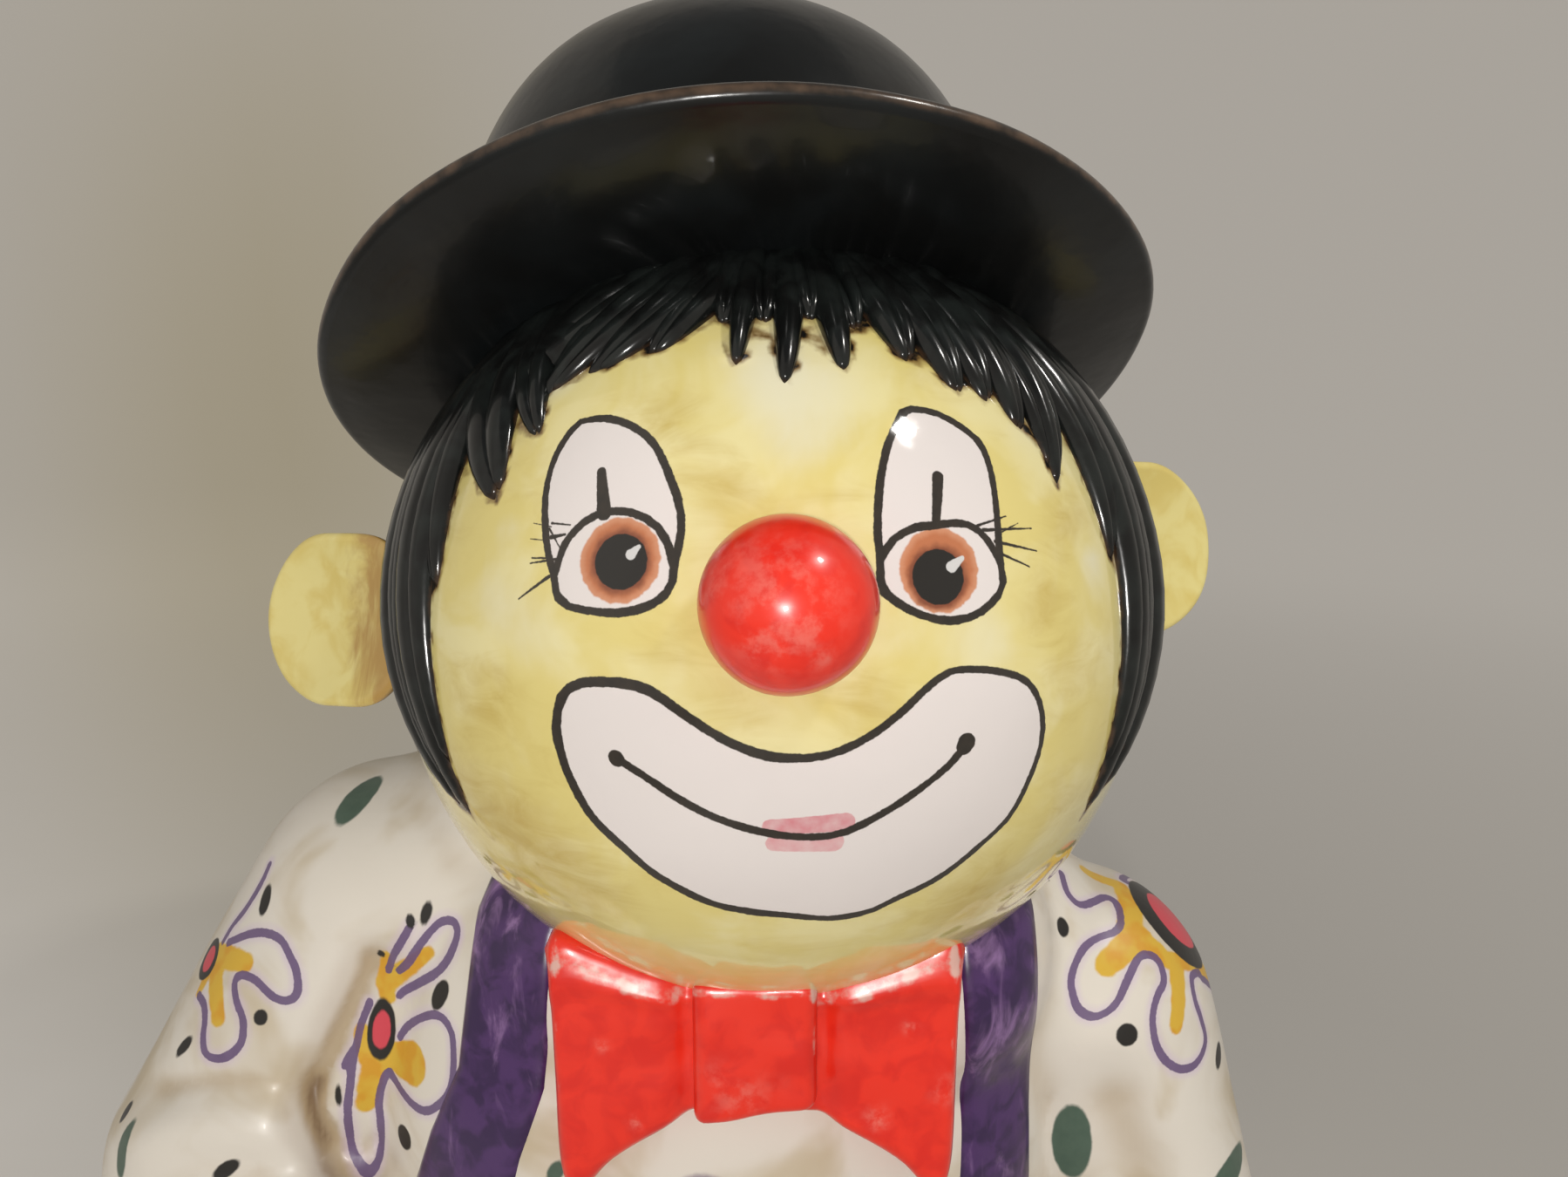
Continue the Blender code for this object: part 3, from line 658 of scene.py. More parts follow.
for name, centre, shade_reach in EARS:
    side = 1.0 if centre.x > 0.0 else -1.0
    turns = [0.5 * math.pi * i / EAR_STEPS for i in range(EAR_STEPS + 1)]
    outline = [(EAR_RADIUS * math.cos(turn), -EAR_DEPTH * math.sin(turn)) for turn in turns]
    edge = EAR_RADIUS - 0.75 * EAR_LIP
    outline += [(edge * i / EAR_STEPS, 0.3 * EAR_LIP - EAR_HOLLOW * (1.0 - (i / EAR_STEPS) ** 2))
                for i in range(EAR_STEPS)]
    for turn in [math.radians(60.0 + 15.0 * i) for i in range(8)]:
        outline.append((EAR_RADIUS - 0.5 * EAR_LIP * (1.0 + math.cos(turn)),
                        0.35 * EAR_LIP * math.sin(turn)))
    form = turned(outline, 96, closed=True)
    bmesh.ops.recalc_face_normals(form, faces=form.faces[:])
    for vert in form.verts:
        inward = max(0.0, -side * vert.co.x / EAR_RADIUS)
        vert.co.x *= 1.0 + 0.25 * inward
        vert.co.y *= 1.0 + 0.55 * inward ** 2
        lump = noise.noise_vector(vert.co / EAR_WAVE + centre * 5.0)
        vert.co += Vector((lump.x, lump.y, 0.5 * lump.z)) * EAR_LUMPS
    facing = rotation(side * EAR_TURN, "Z") @ rotation(90.0, "X")
    placed = HEAD_FRAME @ Matrix.Translation(centre * HEAD_RADIUS) @ facing
    bmesh.ops.transform(form, matrix=placed, verts=form.verts[:])
    ear = casting(form, name, cup)
    verts = places_of(ear.data)
    above_skin = gaps_to(verts, HEAD_CENTRE) - HEAD_RADIUS
    note_on(ear.data, "ochre_shade", np.clip(1.0 - above_skin / shade_reach, 0.0, 1.0))

# The hat. A bowler thrown in one piece with its brim, set back on the head and tilted to one
# side, in glossy black glaze that goes brown on the rim: thin glaze there, and a painted highlight.
HAT_SEAT = Vector((-0.08, 0.13, 0.63)) * HEAD_RADIUS
HAT_LEAN = 20.6
HAT_ROLL = 6.2
BRIM_RADIUS = 1.165 * HEAD_RADIUS
BRIM_THICKNESS = 2.0 * MM
BRIM_LIFT = 0.045 * HEAD_RADIUS
CROWN_RADIUS = 0.82 * HEAD_RADIUS
CROWN_HEIGHT = 1.08 * HEAD_RADIUS
CROWN_SQUARENESS = 3.2
HAT_TURN = rotation(-HAT_ROLL, "Y") @ rotation(-HAT_LEAN, "X")
GLAZE_BLACK = (14, 15, 15)
GLAZE_SLATE = (22, 25, 26)
GLAZE_RIM_BROWN_AND_HIGHLIGHT = (92, 74, 60)

outline = []
for i in range(31):
    turn = 0.5 * math.pi * (i / 30) ** 1.15
    outline.append((CROWN_RADIUS * math.sin(turn) ** (2.0 / CROWN_SQUARENESS),
                    CROWN_HEIGHT * math.cos(turn) ** (2.0 / CROWN_SQUARENESS)))
outline = [(radius, height) for radius, height in outline if height > 2.4 * BRIM_THICKNESS]
fillet = 1.4 * BRIM_THICKNESS
for i in range(7):
    turn = 0.5 * math.pi * i / 6
    outline.append((CROWN_RADIUS + fillet * (1.0 - math.cos(turn)),
                    BRIM_THICKNESS + fillet * (1.0 - math.sin(turn))))
half_brim = 0.5 * BRIM_THICKNESS
for share in (0.25, 0.5, 0.75, 0.9):
    radius = CROWN_RADIUS + fillet + (BRIM_RADIUS - half_brim - CROWN_RADIUS - fillet) * share
    outline.append((radius, BRIM_THICKNESS + BRIM_LIFT * share ** 2))
for i in range(9):
    turn = math.radians(90.0 - 22.5 * i)
    outline.append((BRIM_RADIUS - half_brim + half_brim * math.cos(turn),
                    BRIM_LIFT + half_brim + half_brim * math.sin(turn)))
for share in (0.9, 0.75, 0.5, 0.25, 0.0):
    outline.append((CROWN_RADIUS + (BRIM_RADIUS - half_brim - CROWN_RADIUS) * share,
                    BRIM_LIFT * share ** 2))
outline += [(CROWN_RADIUS * share, 0.0) for share in (0.75, 0.5, 0.25, 0.0)]
form = turned(outline, 160)
bmesh.ops.recalc_face_normals(form, faces=form.faces[:])
rim_share = []
for vert in form.verts:
    radius = math.hypot(vert.co.x, vert.co.y)
    around = math.atan2(vert.co.y, vert.co.x)
    out = max(0.0, (radius - CROWN_RADIUS) / (BRIM_RADIUS - CROWN_RADIUS))
    rim_share.append(max(0.0, 1.0 - (BRIM_RADIUS - radius) / (0.45 * MM)))
    vert.co.z += out ** 2 * 0.5 * MM * math.sin(3.0 * around + 0.8)
    vert.co += vert.co.normalized() * noise.noise(vert.co / (16.0 * MM)) * 0.25 * MM
bmesh.ops.transform(form, matrix=HEAD_FRAME @ Matrix.Translation(HAT_SEAT) @ HAT_TURN,
                    verts=form.verts[:])

black, tree, shader, place = glazed("black_glaze", roughness=0.22, ripple=0.014, coat=0.08)
shader.inputs["Specular IOR Level"].default_value = 0.3
_, colour = brushed(tree, place, (1.0, 1.0, 0.3), 0.06, 0.40, 0.70, GLAZE_BLACK, GLAZE_SLATE)
# Brown along the brim's edge: thin glaze, and a painted highlight on the rim
wear_and_sheen = times(tree, noted(tree, "rim"), scaled(tree, speckle(tree, place, 0.5, 4.0), 0.9, 0.2))
colour = layer(tree, wear_and_sheen, 0.25, 0.95, colour, GLAZE_RIM_BROWN_AND_HIGHLIGHT)
tree.links.new(colour, shader.inputs["Base Color"])

hat = casting(form, "bowler_hat", black)
note_on(hat.data, "rim", rim_share)

# The hair. Rolls of clay combed on from under the brim, round the face and down the nape, each
# lock grooved into strands that come together at its tip, in the hat's black glaze.
LOCK_HEIGHT = 2.2 * MM
LOCK_ROOT_WIDTH = 0.75
LOCK_SWELL = 0.5
LOCK_BLUNTNESS = 2.4
LOCK_TIP_WIDTH = 0.06
LOCK_THINNING = 0.55
UNDER_BRIM = 2.0
STRAND_ALONG = 20
STRAND_AROUND = 12
STRAND_OVERLAP = 1.35
STRAND_DEPTH = 0.8 * MM
STRAND_WAVE = 0.12 * MM
HAIR_SEEN_WITHIN = 3.0
HAIR_BLACK = (13, 14, 14)
HAIR_SLATE = (26, 30, 29)
HAIR_BROWN = (66, 48, 34)

# Each lock starts under the brim at an azimuth and has a bend and a tip, all in degrees on the
# ball (azimuth, elevation), a half width in degrees and its number of strands
FRINGE = (
    (-58, (-52, 32), (-37, 15), 6.0, 2),
    (-50, (-44, 36), (-33, 24), 3.6, 2),
    (-40, (-43, 38), (-44, 28), 6.0, 2),
    (-26, (-36, 44), (-47, 34), 6.0, 3),
    (-18, (-27, 44), (-38, 30), 5.6, 3),
    (-10, (-18, 44), (-30, 34), 5.6, 3),
    (-6, (-12, 46), (-20, 36), 3.6, 2),
    (-3, (-5, 46), (-5, 34), 2.3, 1),
    (3, (4, 44), (2, 31), 2.6, 1),
    (10, (11, 45), (11, 34), 2.8, 1),
    (-8, (-8, 48), (-8, 42), 2.6, 2),
    (-1, (-1, 48), (-1, 42), 2.6, 2),
    (7, (7, 48), (7, 43), 2.6, 2),
    (14, (14, 48), (15, 41), 2.6, 2),
    (17, (22, 45), (22, 35), 3.6, 2),
    (22, (28, 43), (29, 30), 4.0, 2),
    (28, (34, 41), (34, 29), 4.0, 2),
    (34, (40, 38), (38, 25), 4.0, 2),
    (41, (47, 34), (42, 18), 4.6, 3),
)
SIDE_LOCKS = (
    (-64, (-60, 12), (-50, -27), 8.0, 3),
    (-58, (-55, 22), (-49, 3), 4.0, 2),
    (-76, (-72, 6), (-51, -27), 8.5, 3),
    (54, (62, 14), (56, -27), 7.0, 3),
    (48, (54, 24), (53, 6), 3.6, 2),
    (68, (73, 8), (58, -27), 8.5, 3),
)
BACK_FIRST = 88.0
BACK_LAST = 272.0
BACK_LOCKS = 16
BACK_STRANDS = 5
BACK_HALF_WIDTH = 11.0
BACK_SWAY = 2.5
BACK_TIP = -42.0


def hairline(azimuth):
    """Elevation on the ball, in degrees, just above the plane of the hat's brim."""
    axis = HAT_TURN @ Vector((0.0, 0.0, 1.0))
    level = axis.dot(on_ball(azimuth, 0.0))
    meet = axis.dot(HAT_SEAT) / HEAD_RADIUS / math.hypot(level, axis.z)
    return math.degrees(math.atan2(axis.z, level) - math.acos(meet)) + UNDER_BRIM


def narrowing(s):
    """A lock's width from its root, 0, to its tip, 1."""
    return max(LOCK_TIP_WIDTH, (1.0 - s ** LOCK_BLUNTNESS) * (LOCK_ROOT_WIDTH + LOCK_SWELL * s))


def strand(form, ends, half_width, shift, own_share, stop, lift):
    """One closed, tapering strand of a lock."""
    made = bmesh.ops.create_grid(form, x_segments=STRAND_ALONG, y_segments=STRAND_AROUND,
                                 size=1.0)["verts"]
    for vert in made:
        share = 0.5 * (vert.co.x + 1.0)
        s = share * stop
        turn = math.pi * vert.co.y
        middle = (ends[0] * (1 - s) ** 2 + ends[1] * 2 * s * (1 - s) + ends[2] * s * s).normalized()
        ahead = (ends[1] - ends[0]) * (1 - s) + (ends[2] - ends[1]) * s
        side = middle.cross(ahead).normalized()
        taper = math.sqrt(min(1.0, share / 0.05)) * (1.0 - share ** 5.0) ** 0.55
        reach = half_width * narrowing(s)
        across = reach * shift + half_width * own_share * taper * (1.0 - 0.35 * share) * math.cos(turn)
        height = lift * (1.0 - LOCK_THINNING * s ** 3) * taper
        rise = height * math.sin(turn) if turn > 0.0 else STRAND_DEPTH * taper * math.sin(turn)
        wave = STRAND_WAVE * noise.noise(Vector((4.0 * share, 9.0 * shift, 40.0 * half_width)))
        vert.co = (middle + side * across).normalized() * (HEAD_RADIUS - 0.15 * MM + rise + wave)


form = bmesh.new()
locks = [((azimuth, hairline(azimuth)), *rest) for azimuth, *rest in FRINGE + SIDE_LOCKS]
for number in range(BACK_LOCKS):
    azimuth = BACK_FIRST + (BACK_LAST - BACK_FIRST) * number / (BACK_LOCKS - 1)
    sway = BACK_SWAY * math.sin(2.3 * number)
    tip = BACK_TIP + 5.0 * math.cos(1.7 * number)
    bend = (azimuth + sway, 0.5 * (hairline(azimuth) + tip))
    locks.append(((azimuth, hairline(azimuth)), bend, (azimuth, tip), BACK_HALF_WIDTH, BACK_STRANDS))
for number, (start, bend, tip, degrees, strands) in enumerate(locks):
    ends = [on_ball(*start), on_ball(*bend), on_ball(*tip)]
    half_width = math.radians(degrees)
    for turn in range(strands):
        vary = noise.noise(Vector((number * 1.7, turn * 2.3, 0.5)))
        shift = (2.0 * turn + 1.0 + (0.7 * vary if strands > 1 else 0.0)) / strands - 1.0
        own = STRAND_OVERLAP * (1.3 - 0.5 * abs(shift)) / strands if strands > 1 else 1.0
        stop = 1.0 - 0.10 * abs(shift) - 0.07 * abs(vary)
        lift = LOCK_HEIGHT * (1.0 - 0.22 * shift * shift + 0.18 * vary)
        strand(form, ends, half_width, shift * 0.86, own, stop, lift)
bmesh.ops.remove_doubles(form, verts=form.verts[:], dist=0.002 * MM)
bmesh.ops.recalc_face_normals(form, faces=form.faces[:])
bmesh.ops.transform(form, matrix=HEAD_FRAME, verts=form.verts[:])

ebony, tree, shader, place = glazed("hair_glaze", roughness=0.17, ripple=0.010, coat=0.25)
shader.inputs["Specular IOR Level"].default_value = 0.3
_, colour = brushed(tree, place, (1.0, 1.0, 0.4), 0.25, 0.38, 0.68, HAIR_BLACK, HAIR_SLATE)
proud = scaled(tree, speckle(tree, place, 0.6, 3.0), 1.2, noted(tree, "proud"))
colour = layer(tree, proud, 0.95, 0.35, colour, HAIR_BROWN)
tree.links.new(colour, shader.inputs["Base Color"])

hair_tree = BVHTree.FromBMesh(form)
hair = casting(form, "hair", ebony)
verts = places_of(hair.data)
note_on(hair.data, "proud", (gaps_to(verts, HEAD_CENTRE) - HEAD_RADIUS) / MM)
gaps = []
for vert in face.data.vertices:
    found = hair_tree.find_nearest(vert.co, HAIR_SEEN_WITHIN * MM)[3]
    gaps.append(HAIR_SEEN_WITHIN if found is None else found / MM)
note_on(face.data, "hair_gap", gaps)

# The shirt. Chest, shoulders and arms of soft clay, smoothed together, in clear glaze over the
# cream body, with flowers, dots and leaves painted on the sleeves.
SHIRT_GRID = 0.8 * MM
SHIRT_SMOOTHING = 26
CHEST_CENTRE = Vector((-0.18, 0.15, -1.50)) * HEAD_RADIUS
CHEST_RADII = Vector((1.06, 0.70, 1.25)) * HEAD_RADIUS
LIMBS = (
    ((0.00, 0.22, -0.62), 0.46, (-1.16, 0.26, -0.95), 0.45),
    ((-1.16, 0.26, -0.95), 0.46, (-1.59, 0.06, -1.66), 0.42),
    ((0.00, 0.22, -0.66), 0.46, (0.85, 0.24, -1.25), 0.415),
    ((0.93, 0.23, -1.25), 0.425, (1.17, 0.08, -1.98), 0.35),
    ((-0.45, -0.03, -0.93), 0.44, (0.36, -0.03, -0.93), 0.44),
)
FOREARM = ((-1.58, 0.02, -1.74), 0.42, (-1.10, -0.34, -1.98), 0.40)
# Folds: a line in pixels, how broad it is in pixels, how deep in millimetres (less than nothing
# where the sleeve swells), and how much brown goes along it: glaze pooled there, and painted shade
FOLDS = (
    (((424, 1110), (402, 1160), (380, 1206), (364, 1244), (360, 1280), (376, 1312), (404, 1345)),
     28, 2.2, 0.26),
    (((366, 1240), (359, 1262), (364, 1286), (374, 1304)), 11, 0.4, 0.34),
    (((190, 1248), (240, 1240), (300, 1242), (345, 1250)), 22, 0.7, 0.12),
    (((170, 1312), (230, 1297), (300, 1302), (345, 1322)), 34, -1.2, 0.0),
    (((1284, 1276), (1298, 1312), (1314, 1350), (1322, 1390)), 56, 1.5, 0.24),
    (((475, 920), (500, 950), (515, 985)), 30, 0.3, 0.16),
)
SHIRT_CREAM = (221, 215, 205)
SHIRT_WARM = (196, 182, 156)
# Tan and brown for hollows and folds: glaze pooled there, and painted shade
SHIRT_POOL_AND_SHADE_TAN = (176, 156, 126)
SHIRT_POOL_AND_SHADE_BROWN = (104, 74, 44)
PETAL_PURPLE = (84, 62, 108)
PETAL_HALO = (206, 188, 214)
FLOWER_YELLOW = (214, 174, 58)
FLOWER_AMBER = (212, 156, 42)
FLOWER_ROSE = (208, 70, 84)
DOT_BLACK = (34, 32, 30)
LEAF_GREEN = (62, 84, 72)
LEAF_PALE = (84, 104, 90)
LEAF_GREY = (150, 140, 150)
PETAL_FADED = (108, 86, 128)

# Flowers. Each has a middle, the two tips and a side of its eye, purple outlines as points, and
# yellow brush marks as one end, the other end and the radius at each, all in pixels. The last
# number is the size of the plain petals that finish its hidden half.
FLOWERS = (
    ((1341, 1060), ((1315, 1019), (1366, 1099), (1321, 1073)),
     (((1218, 1002), (1223, 1020), (1232, 1033), (1242, 1038), (1255, 1034), (1268, 1029), (1279, 1034),
       (1285, 1047), (1285, 1062), (1276, 1070), (1261, 1075), (1246, 1085), (1236, 1101), (1229, 1122),
       (1231, 1142), (1238, 1158), (1253, 1166), (1268, 1162), (1281, 1150), (1290, 1132), (1298, 1114),
       (1306, 1099), (1315, 1095), (1326, 1099), (1333, 1111), (1335, 1127), (1328, 1142), (1323, 1161),
       (1323, 1181), (1328, 1202), (1339, 1218), (1354, 1226), (1370, 1222), (1380, 1207), (1383, 1189),
       (1378, 1168), (1372, 1150), (1368, 1132), (1368, 1119), (1376, 1116), (1385, 1127), (1396, 1148),
       (1406, 1171), (1419, 1194)),
      ((1240, 966), (1255, 979), (1274, 993), (1289, 1006), (1304, 1017))),
     (((1246, 999), (1284, 1015), 9, 10), ((1284, 1015), (1297, 1036), 10, 14),
      ((1297, 1036), (1296, 1062), 14, 14), ((1304, 1075), (1270, 1106), 16, 13),
      ((1297, 1062), (1318, 1083), 14, 12), ((1318, 1083), (1340, 1102), 12, 10),
      ((1340, 1102), (1372, 1106), 10, 8), ((1350, 1112), (1350, 1174), 12, 10),
      ((1372, 1106), (1398, 1148), 10, 4)),
     2.3),
    ((240, 1100), ((248, 1076), (233, 1124), (248, 1103)),
     (((262, 1081), (276, 1075), (294, 1070), (309, 1071), (323, 1079), (332, 1095), (339, 1111),
       (342, 1129), (339, 1142), (329, 1148), (316, 1145), (304, 1135), (294, 1125), (282, 1119),
       (272, 1120), (269, 1132), (272, 1150), (278, 1167), (279, 1185), (275, 1199), (262, 1211),
       (247, 1214), (236, 1208), (233, 1190), (235, 1170), (234, 1152), (228, 1141)),
      ((309, 992), (303, 1006), (293, 1025), (280, 1045), (266, 1063), (256, 1080))),
     (((257, 1097), (282, 1104), 13, 10), ((250, 1095), (250, 1167), 13, 9),
      ((243, 1108), (228, 1138), 8, 5)),
     1.6),
    ((439, 1181), ((441, 1145), (436, 1216), (454, 1182)),
     (((458, 1113), (469, 1103), (481, 1085), (494, 1068), (507, 1057), (520, 1057), (525, 1069),
       (520, 1088), (510, 1106), (496, 1119), (478, 1129), (465, 1136), (458, 1142)),
      ((446, 1112), (451, 1097), (461, 1079), (470, 1064)),
      ((459, 1189), (468, 1177), (484, 1167), (499, 1164), (510, 1170), (518, 1185), (520, 1205),
       (520, 1228), (516, 1249), (506, 1265), (490, 1274), (475, 1268), (462, 1253), (452, 1237),
       (446, 1229), (439, 1243), (435, 1264), (437, 1287), (438, 1310), (434, 1331), (425, 1344),
       (414, 1337), (404, 1316), (400, 1290), (399, 1266), (402, 1243), (404, 1220), (409, 1199)),
      ((396, 1222), (403, 1208), (409, 1199), (414, 1176), (424, 1150))),
     (((444, 1126), (492, 1092), 13, 7), ((441, 1122), (443, 1096), 9, 6),
      ((446, 1212), (472, 1219), 14, 24), ((430, 1218), (420, 1266), 13, 10),
      ((415, 1185), (424, 1214), 10, 11), ((440, 1126), (446, 1142), 10, 9)),
     None),
)
# Dots and leaves: one tip, the other tip and half the width, in pixels
DOTS = (((309, 1014), (300, 1051), 8), ((296, 1160), (302, 1174), 8), ((202, 1211), (221, 1189), 6),
        ((493, 1033), (485, 1062), 6), ((469, 1048), (473, 1066), 5), ((434, 1092), (441, 1096), 5),
        ((513, 1125), (497, 1157), 11), ((459, 1290), (469, 1319), 12), ((388, 1243), (389, 1269), 4),
        ((1217, 1052), (1221, 1075), 9), ((1289, 1175), (1297, 1199), 12),
        ((1399, 1195), (1396, 1226), 8), ((1200, 1004), (1202, 1010), 4), ((275, 1331), (244, 1352), 7))
LEAVES = (((436, 890), (388, 947), 17), ((155, 1284), (137, 1352), 10),
          ((1230, 1267), (1229, 1351), 20), ((1424, 1312), (1385, 1372), 14),
          ((645, 1332), (630, 1356), 8))
GREY_LEAVES = (((772, 1370), (840, 1370), 22),)

# The hidden side carries on more plainly: flowers, dots and leaves at these azimuths and heights
# round the middle of the chest
BACK_FLOWERS = ((150, 0.90), (196, 0.55), (132, 0.40), (240, 0.48), (228, 1.10))
BACK_DOTS = ((135, 0.55), (165, 0.45), (178, 0.95), (214, 0.85), (258, 0.22), (120, 0.95), (280, 0.45),
             (190, 0.22), (150, 0.20), (232, 0.20))
BACK_LEAVES = ((172, 0.70), (112, 0.20), (206, 0.24), (246, 1.15), (270, 0.25))


def of_kind(parts, kind):
    """The parts of a form that are of one kind."""
    return [part for part in parts if isinstance(part, kind)]


def cut_flat(form):
    """Takes off what is below the flat cut and closes it."""
    cut = bmesh.ops.bisect_plane(form, geom=form.verts[:] + form.edges[:] + form.faces[:], dist=MERGE,
                                 plane_co=(0.0, 0.0, CUT_HEIGHT), plane_no=(0.0, 0.0, 1.0),
                                 clear_inner=True)
    bmesh.ops.holes_fill(form, edges=of_kind(cut["geom_cut"], bmesh.types.BMEdge))
    bmesh.ops.recalc_face_normals(form, faces=form.faces[:])


def soft_body(name, limbs, grid, smoothing):
    """Chest and these limbs, blended as soft clay."""
    form = bmesh.new()
    size = Matrix.Diagonal((*CHEST_RADII, 1.0))
    bmesh.ops.create_icosphere(form, subdivisions=5, radius=1.0,
                               matrix=Matrix.Translation(HEAD_CENTRE + CHEST_CENTRE) @ size)
    for start, start_radius, end, end_radius in limbs:
        limb = bmesh.new()
        for centre, radius in ((start, start_radius), (end, end_radius)):
            middle = HEAD_CENTRE + Vector(centre) * HEAD_RADIUS
            bmesh.ops.create_icosphere(limb, subdivisions=4, radius=radius * HEAD_RADIUS,
                                       matrix=Matrix.Translation(middle))
        hull = bmesh.ops.convex_hull(limb, input=limb.verts[:])
        inner = of_kind(hull["geom_interior"], bmesh.types.BMVert)
        bmesh.ops.delete(limb, geom=inner, context="VERTS")
        limb_mesh = bpy.data.meshes.new("limb")
        limb.to_mesh(limb_mesh)
        limb.free()
        form.from_mesh(limb_mesh)
        bpy.data.meshes.remove(limb_mesh)
    mesh = bpy.data.meshes.new(name)
    form.to_mesh(mesh)
    form.free()
    rough = set_out(name, mesh)
    blended = rough.modifiers.new("blended", "REMESH")
    blended.mode = "VOXEL"
    blended.voxel_size = grid
    smooth = rough.modifiers.new("smooth", "SMOOTH")
    smooth.factor = 0.5
    smooth.iterations = smoothing
    bpy.context.view_layer.update()
    blended_mesh = bpy.data.meshes.new_from_object(
        rough.evaluated_get(bpy.context.evaluated_depsgraph_get()))
    bpy.data.objects.remove(rough, do_unlink=True)
    form = bmesh.new()
    form.from_mesh(blended_mesh)
    bpy.data.meshes.remove(blended_mesh)
    return form


def places_and_normals(form):
    """The place and the way out at each vertex of a form."""
    return np.array([vert.co for vert in form.verts]), np.array([vert.normal for vert in form.verts])


def hollowness(mesh, passes):
    """How far each vertex lies in a hollow, in millimetres, negative on a ridge."""
    places = places_of(mesh)
    ends = np.zeros(len(mesh.edges) * 2, int)
    mesh.edges.foreach_get("vertices", ends)
    first = np.concatenate([ends[0::2], ends[1::2]])
    second = np.concatenate([ends[1::2], ends[0::2]])
    count = np.bincount(first, minlength=len(places)).clip(1)[:, None]
    relaxed = places.copy()
    for _ in range(passes):
        total = np.stack([np.bincount(first, relaxed[second, axis], len(places))
                          for axis in range(3)], axis=1)
        relaxed = 0.5 * relaxed + 0.5 * total / count
    return ((relaxed - places) * normals_of(mesh)).sum(axis=1) / MM


def from_line(places, line):
    """How far each place is from an open line."""
    starts = line[:-1]
    steps = line[1:] - starts
    lengths = np.maximum((steps ** 2).sum(axis=1), 1e-9)
    share = ((places[:, None, :] - starts) * steps).sum(axis=2) / lengths
    nearest = starts + np.clip(share, 0.0, 1.0)[:, :, None] * steps
    return np.linalg.norm(places[:, None, :] - nearest, axis=2).min(axis=1)


def in_photo(places):
    """Where places show in the photograph, in pixels, the way to them from the camera and how
    far ahead of it they are."""
    away = places - np.array(CAMERA_PLACE)
    depth = np.maximum(away @ np.array(AHEAD), 1.0 * MM)
    across = away @ np.array(RIGHT) / depth * FOCAL_PIXELS + 0.5 * PHOTO_WIDTH
    down = 0.5 * PHOTO_HEIGHT - away @ np.array(UP) / depth * FOCAL_PIXELS
    return np.stack([across, down], axis=1), away, depth


def fold_depths(places, outward):
    """How far the soft clay is pressed in along the folds at each place, in metres, and how much brown
    is painted there: glaze pooled in the folds, and painted shade."""
    pixels, away, _ = in_photo(places)
    facing = -(outward * away).sum(axis=1) / np.linalg.norm(away, axis=1)
    facing = np.clip((facing + 0.1) / 0.4, 0.0, 1.0)
    pressed = np.zeros(len(places))
    pooled_and_shaded = np.zeros(len(places))
    for line, width, deep, brown in FOLDS:
        near = bell(from_line(pixels, smooth_line(line, False, 4)) / width) * facing
        pressed += deep * MM * near
        pooled_and_shaded += brown * near
    return pressed, pooled_and_shaded


form = soft_body("shirt", LIMBS + (FOREARM,), SHIRT_GRID, SHIRT_SMOOTHING)
presses = fold_depths(*places_and_normals(form))[0]
for vert, press in zip(form.verts, presses):
    vert.co += vert.normal * (noise.noise(vert.co / (14.0 * MM)) * 0.25 * MM - press)
cut_flat(form)
shirt_tree = BVHTree.FromBMesh(form)

cream, tree, shader, place = glazed("shirt_glaze", roughness=0.36, ripple=0.014, coat=0.03)
brush, colour = brushed(tree, place, (1.0, 1.0, 0.5), 0.08, 0.45, 0.75, SHIRT_CREAM, SHIRT_WARM)
# Tan and brown in the hollows and folds: glaze pooled there, and painted shade in the creases
hollow = noted(tree, "hollow")
pooled_and_shaded = maths(tree, "ADD", scaled(tree, brush["Streaks"], 0.3, -0.15), hollow)
colour = layer(tree, pooled_and_shaded, 0.0, 0.62, colour, SHIRT_POOL_AND_SHADE_TAN)
colour = layer(tree, pooled_and_shaded, 0.50, 1.05, colour, SHIRT_POOL_AND_SHADE_BROWN)
shift = scaled(tree, speckle(tree, place, 0.9, 3.0), 0.5, -0.25)
outline = noted(tree, "outline")
bled = times(tree, fade(tree, outline, 1.5, 0.3), speckle(tree, place, 0.4, 3.0))
colour = over(tree, bled, colour, PETAL_HALO)
streak = maths(tree, "ADD", noted(tree, "streak"), shift)
yellow = layer(tree, speckle(tree, place, 0.35, 2.0), 0.45, 0.65, FLOWER_YELLOW, FLOWER_AMBER)
colour = layer(tree, streak, 0.2, -0.2, colour, yellow)
outline_ink = pen_line(tree, place, outline, 0.92)
faded = over(tree, speckle(tree, place, 0.7, 3.0), PETAL_PURPLE, PETAL_FADED)
colour = over(tree, times(tree, outline_ink, 0.92), colour, faded)
smudge = times(tree, shift, 0.4)
rim = maths(tree, "ADD", noted(tree, "eye_rim"), smudge)
colour = layer(tree, rim, 0.1, -0.1, colour, DOT_BLACK)
heart = maths(tree, "ADD", noted(tree, "eye_heart"), smudge)
colour = layer(tree, heart, 0.1, -0.1, colour, FLOWER_ROSE)
dot = maths(tree, "ADD", noted(tree, "dot"), smudge)
colour = layer(tree, dot, 0.12, -0.12, colour, DOT_BLACK)
grey_leaf = maths(tree, "ADD", noted(tree, "grey_leaf"), shift)
colour = layer(tree, grey_leaf, 0.4, -0.4, colour, LEAF_GREY)
leaf = maths(tree, "ADD", noted(tree, "leaf"), times(tree, shift, 0.5))
green = over(tree, speckle(tree, place, 0.6, 3.0), LEAF_GREEN, LEAF_PALE)
colour = layer(tree, leaf, 0.15, -0.15, colour, green)
tree.links.new(colour, shader.inputs["Base Color"])


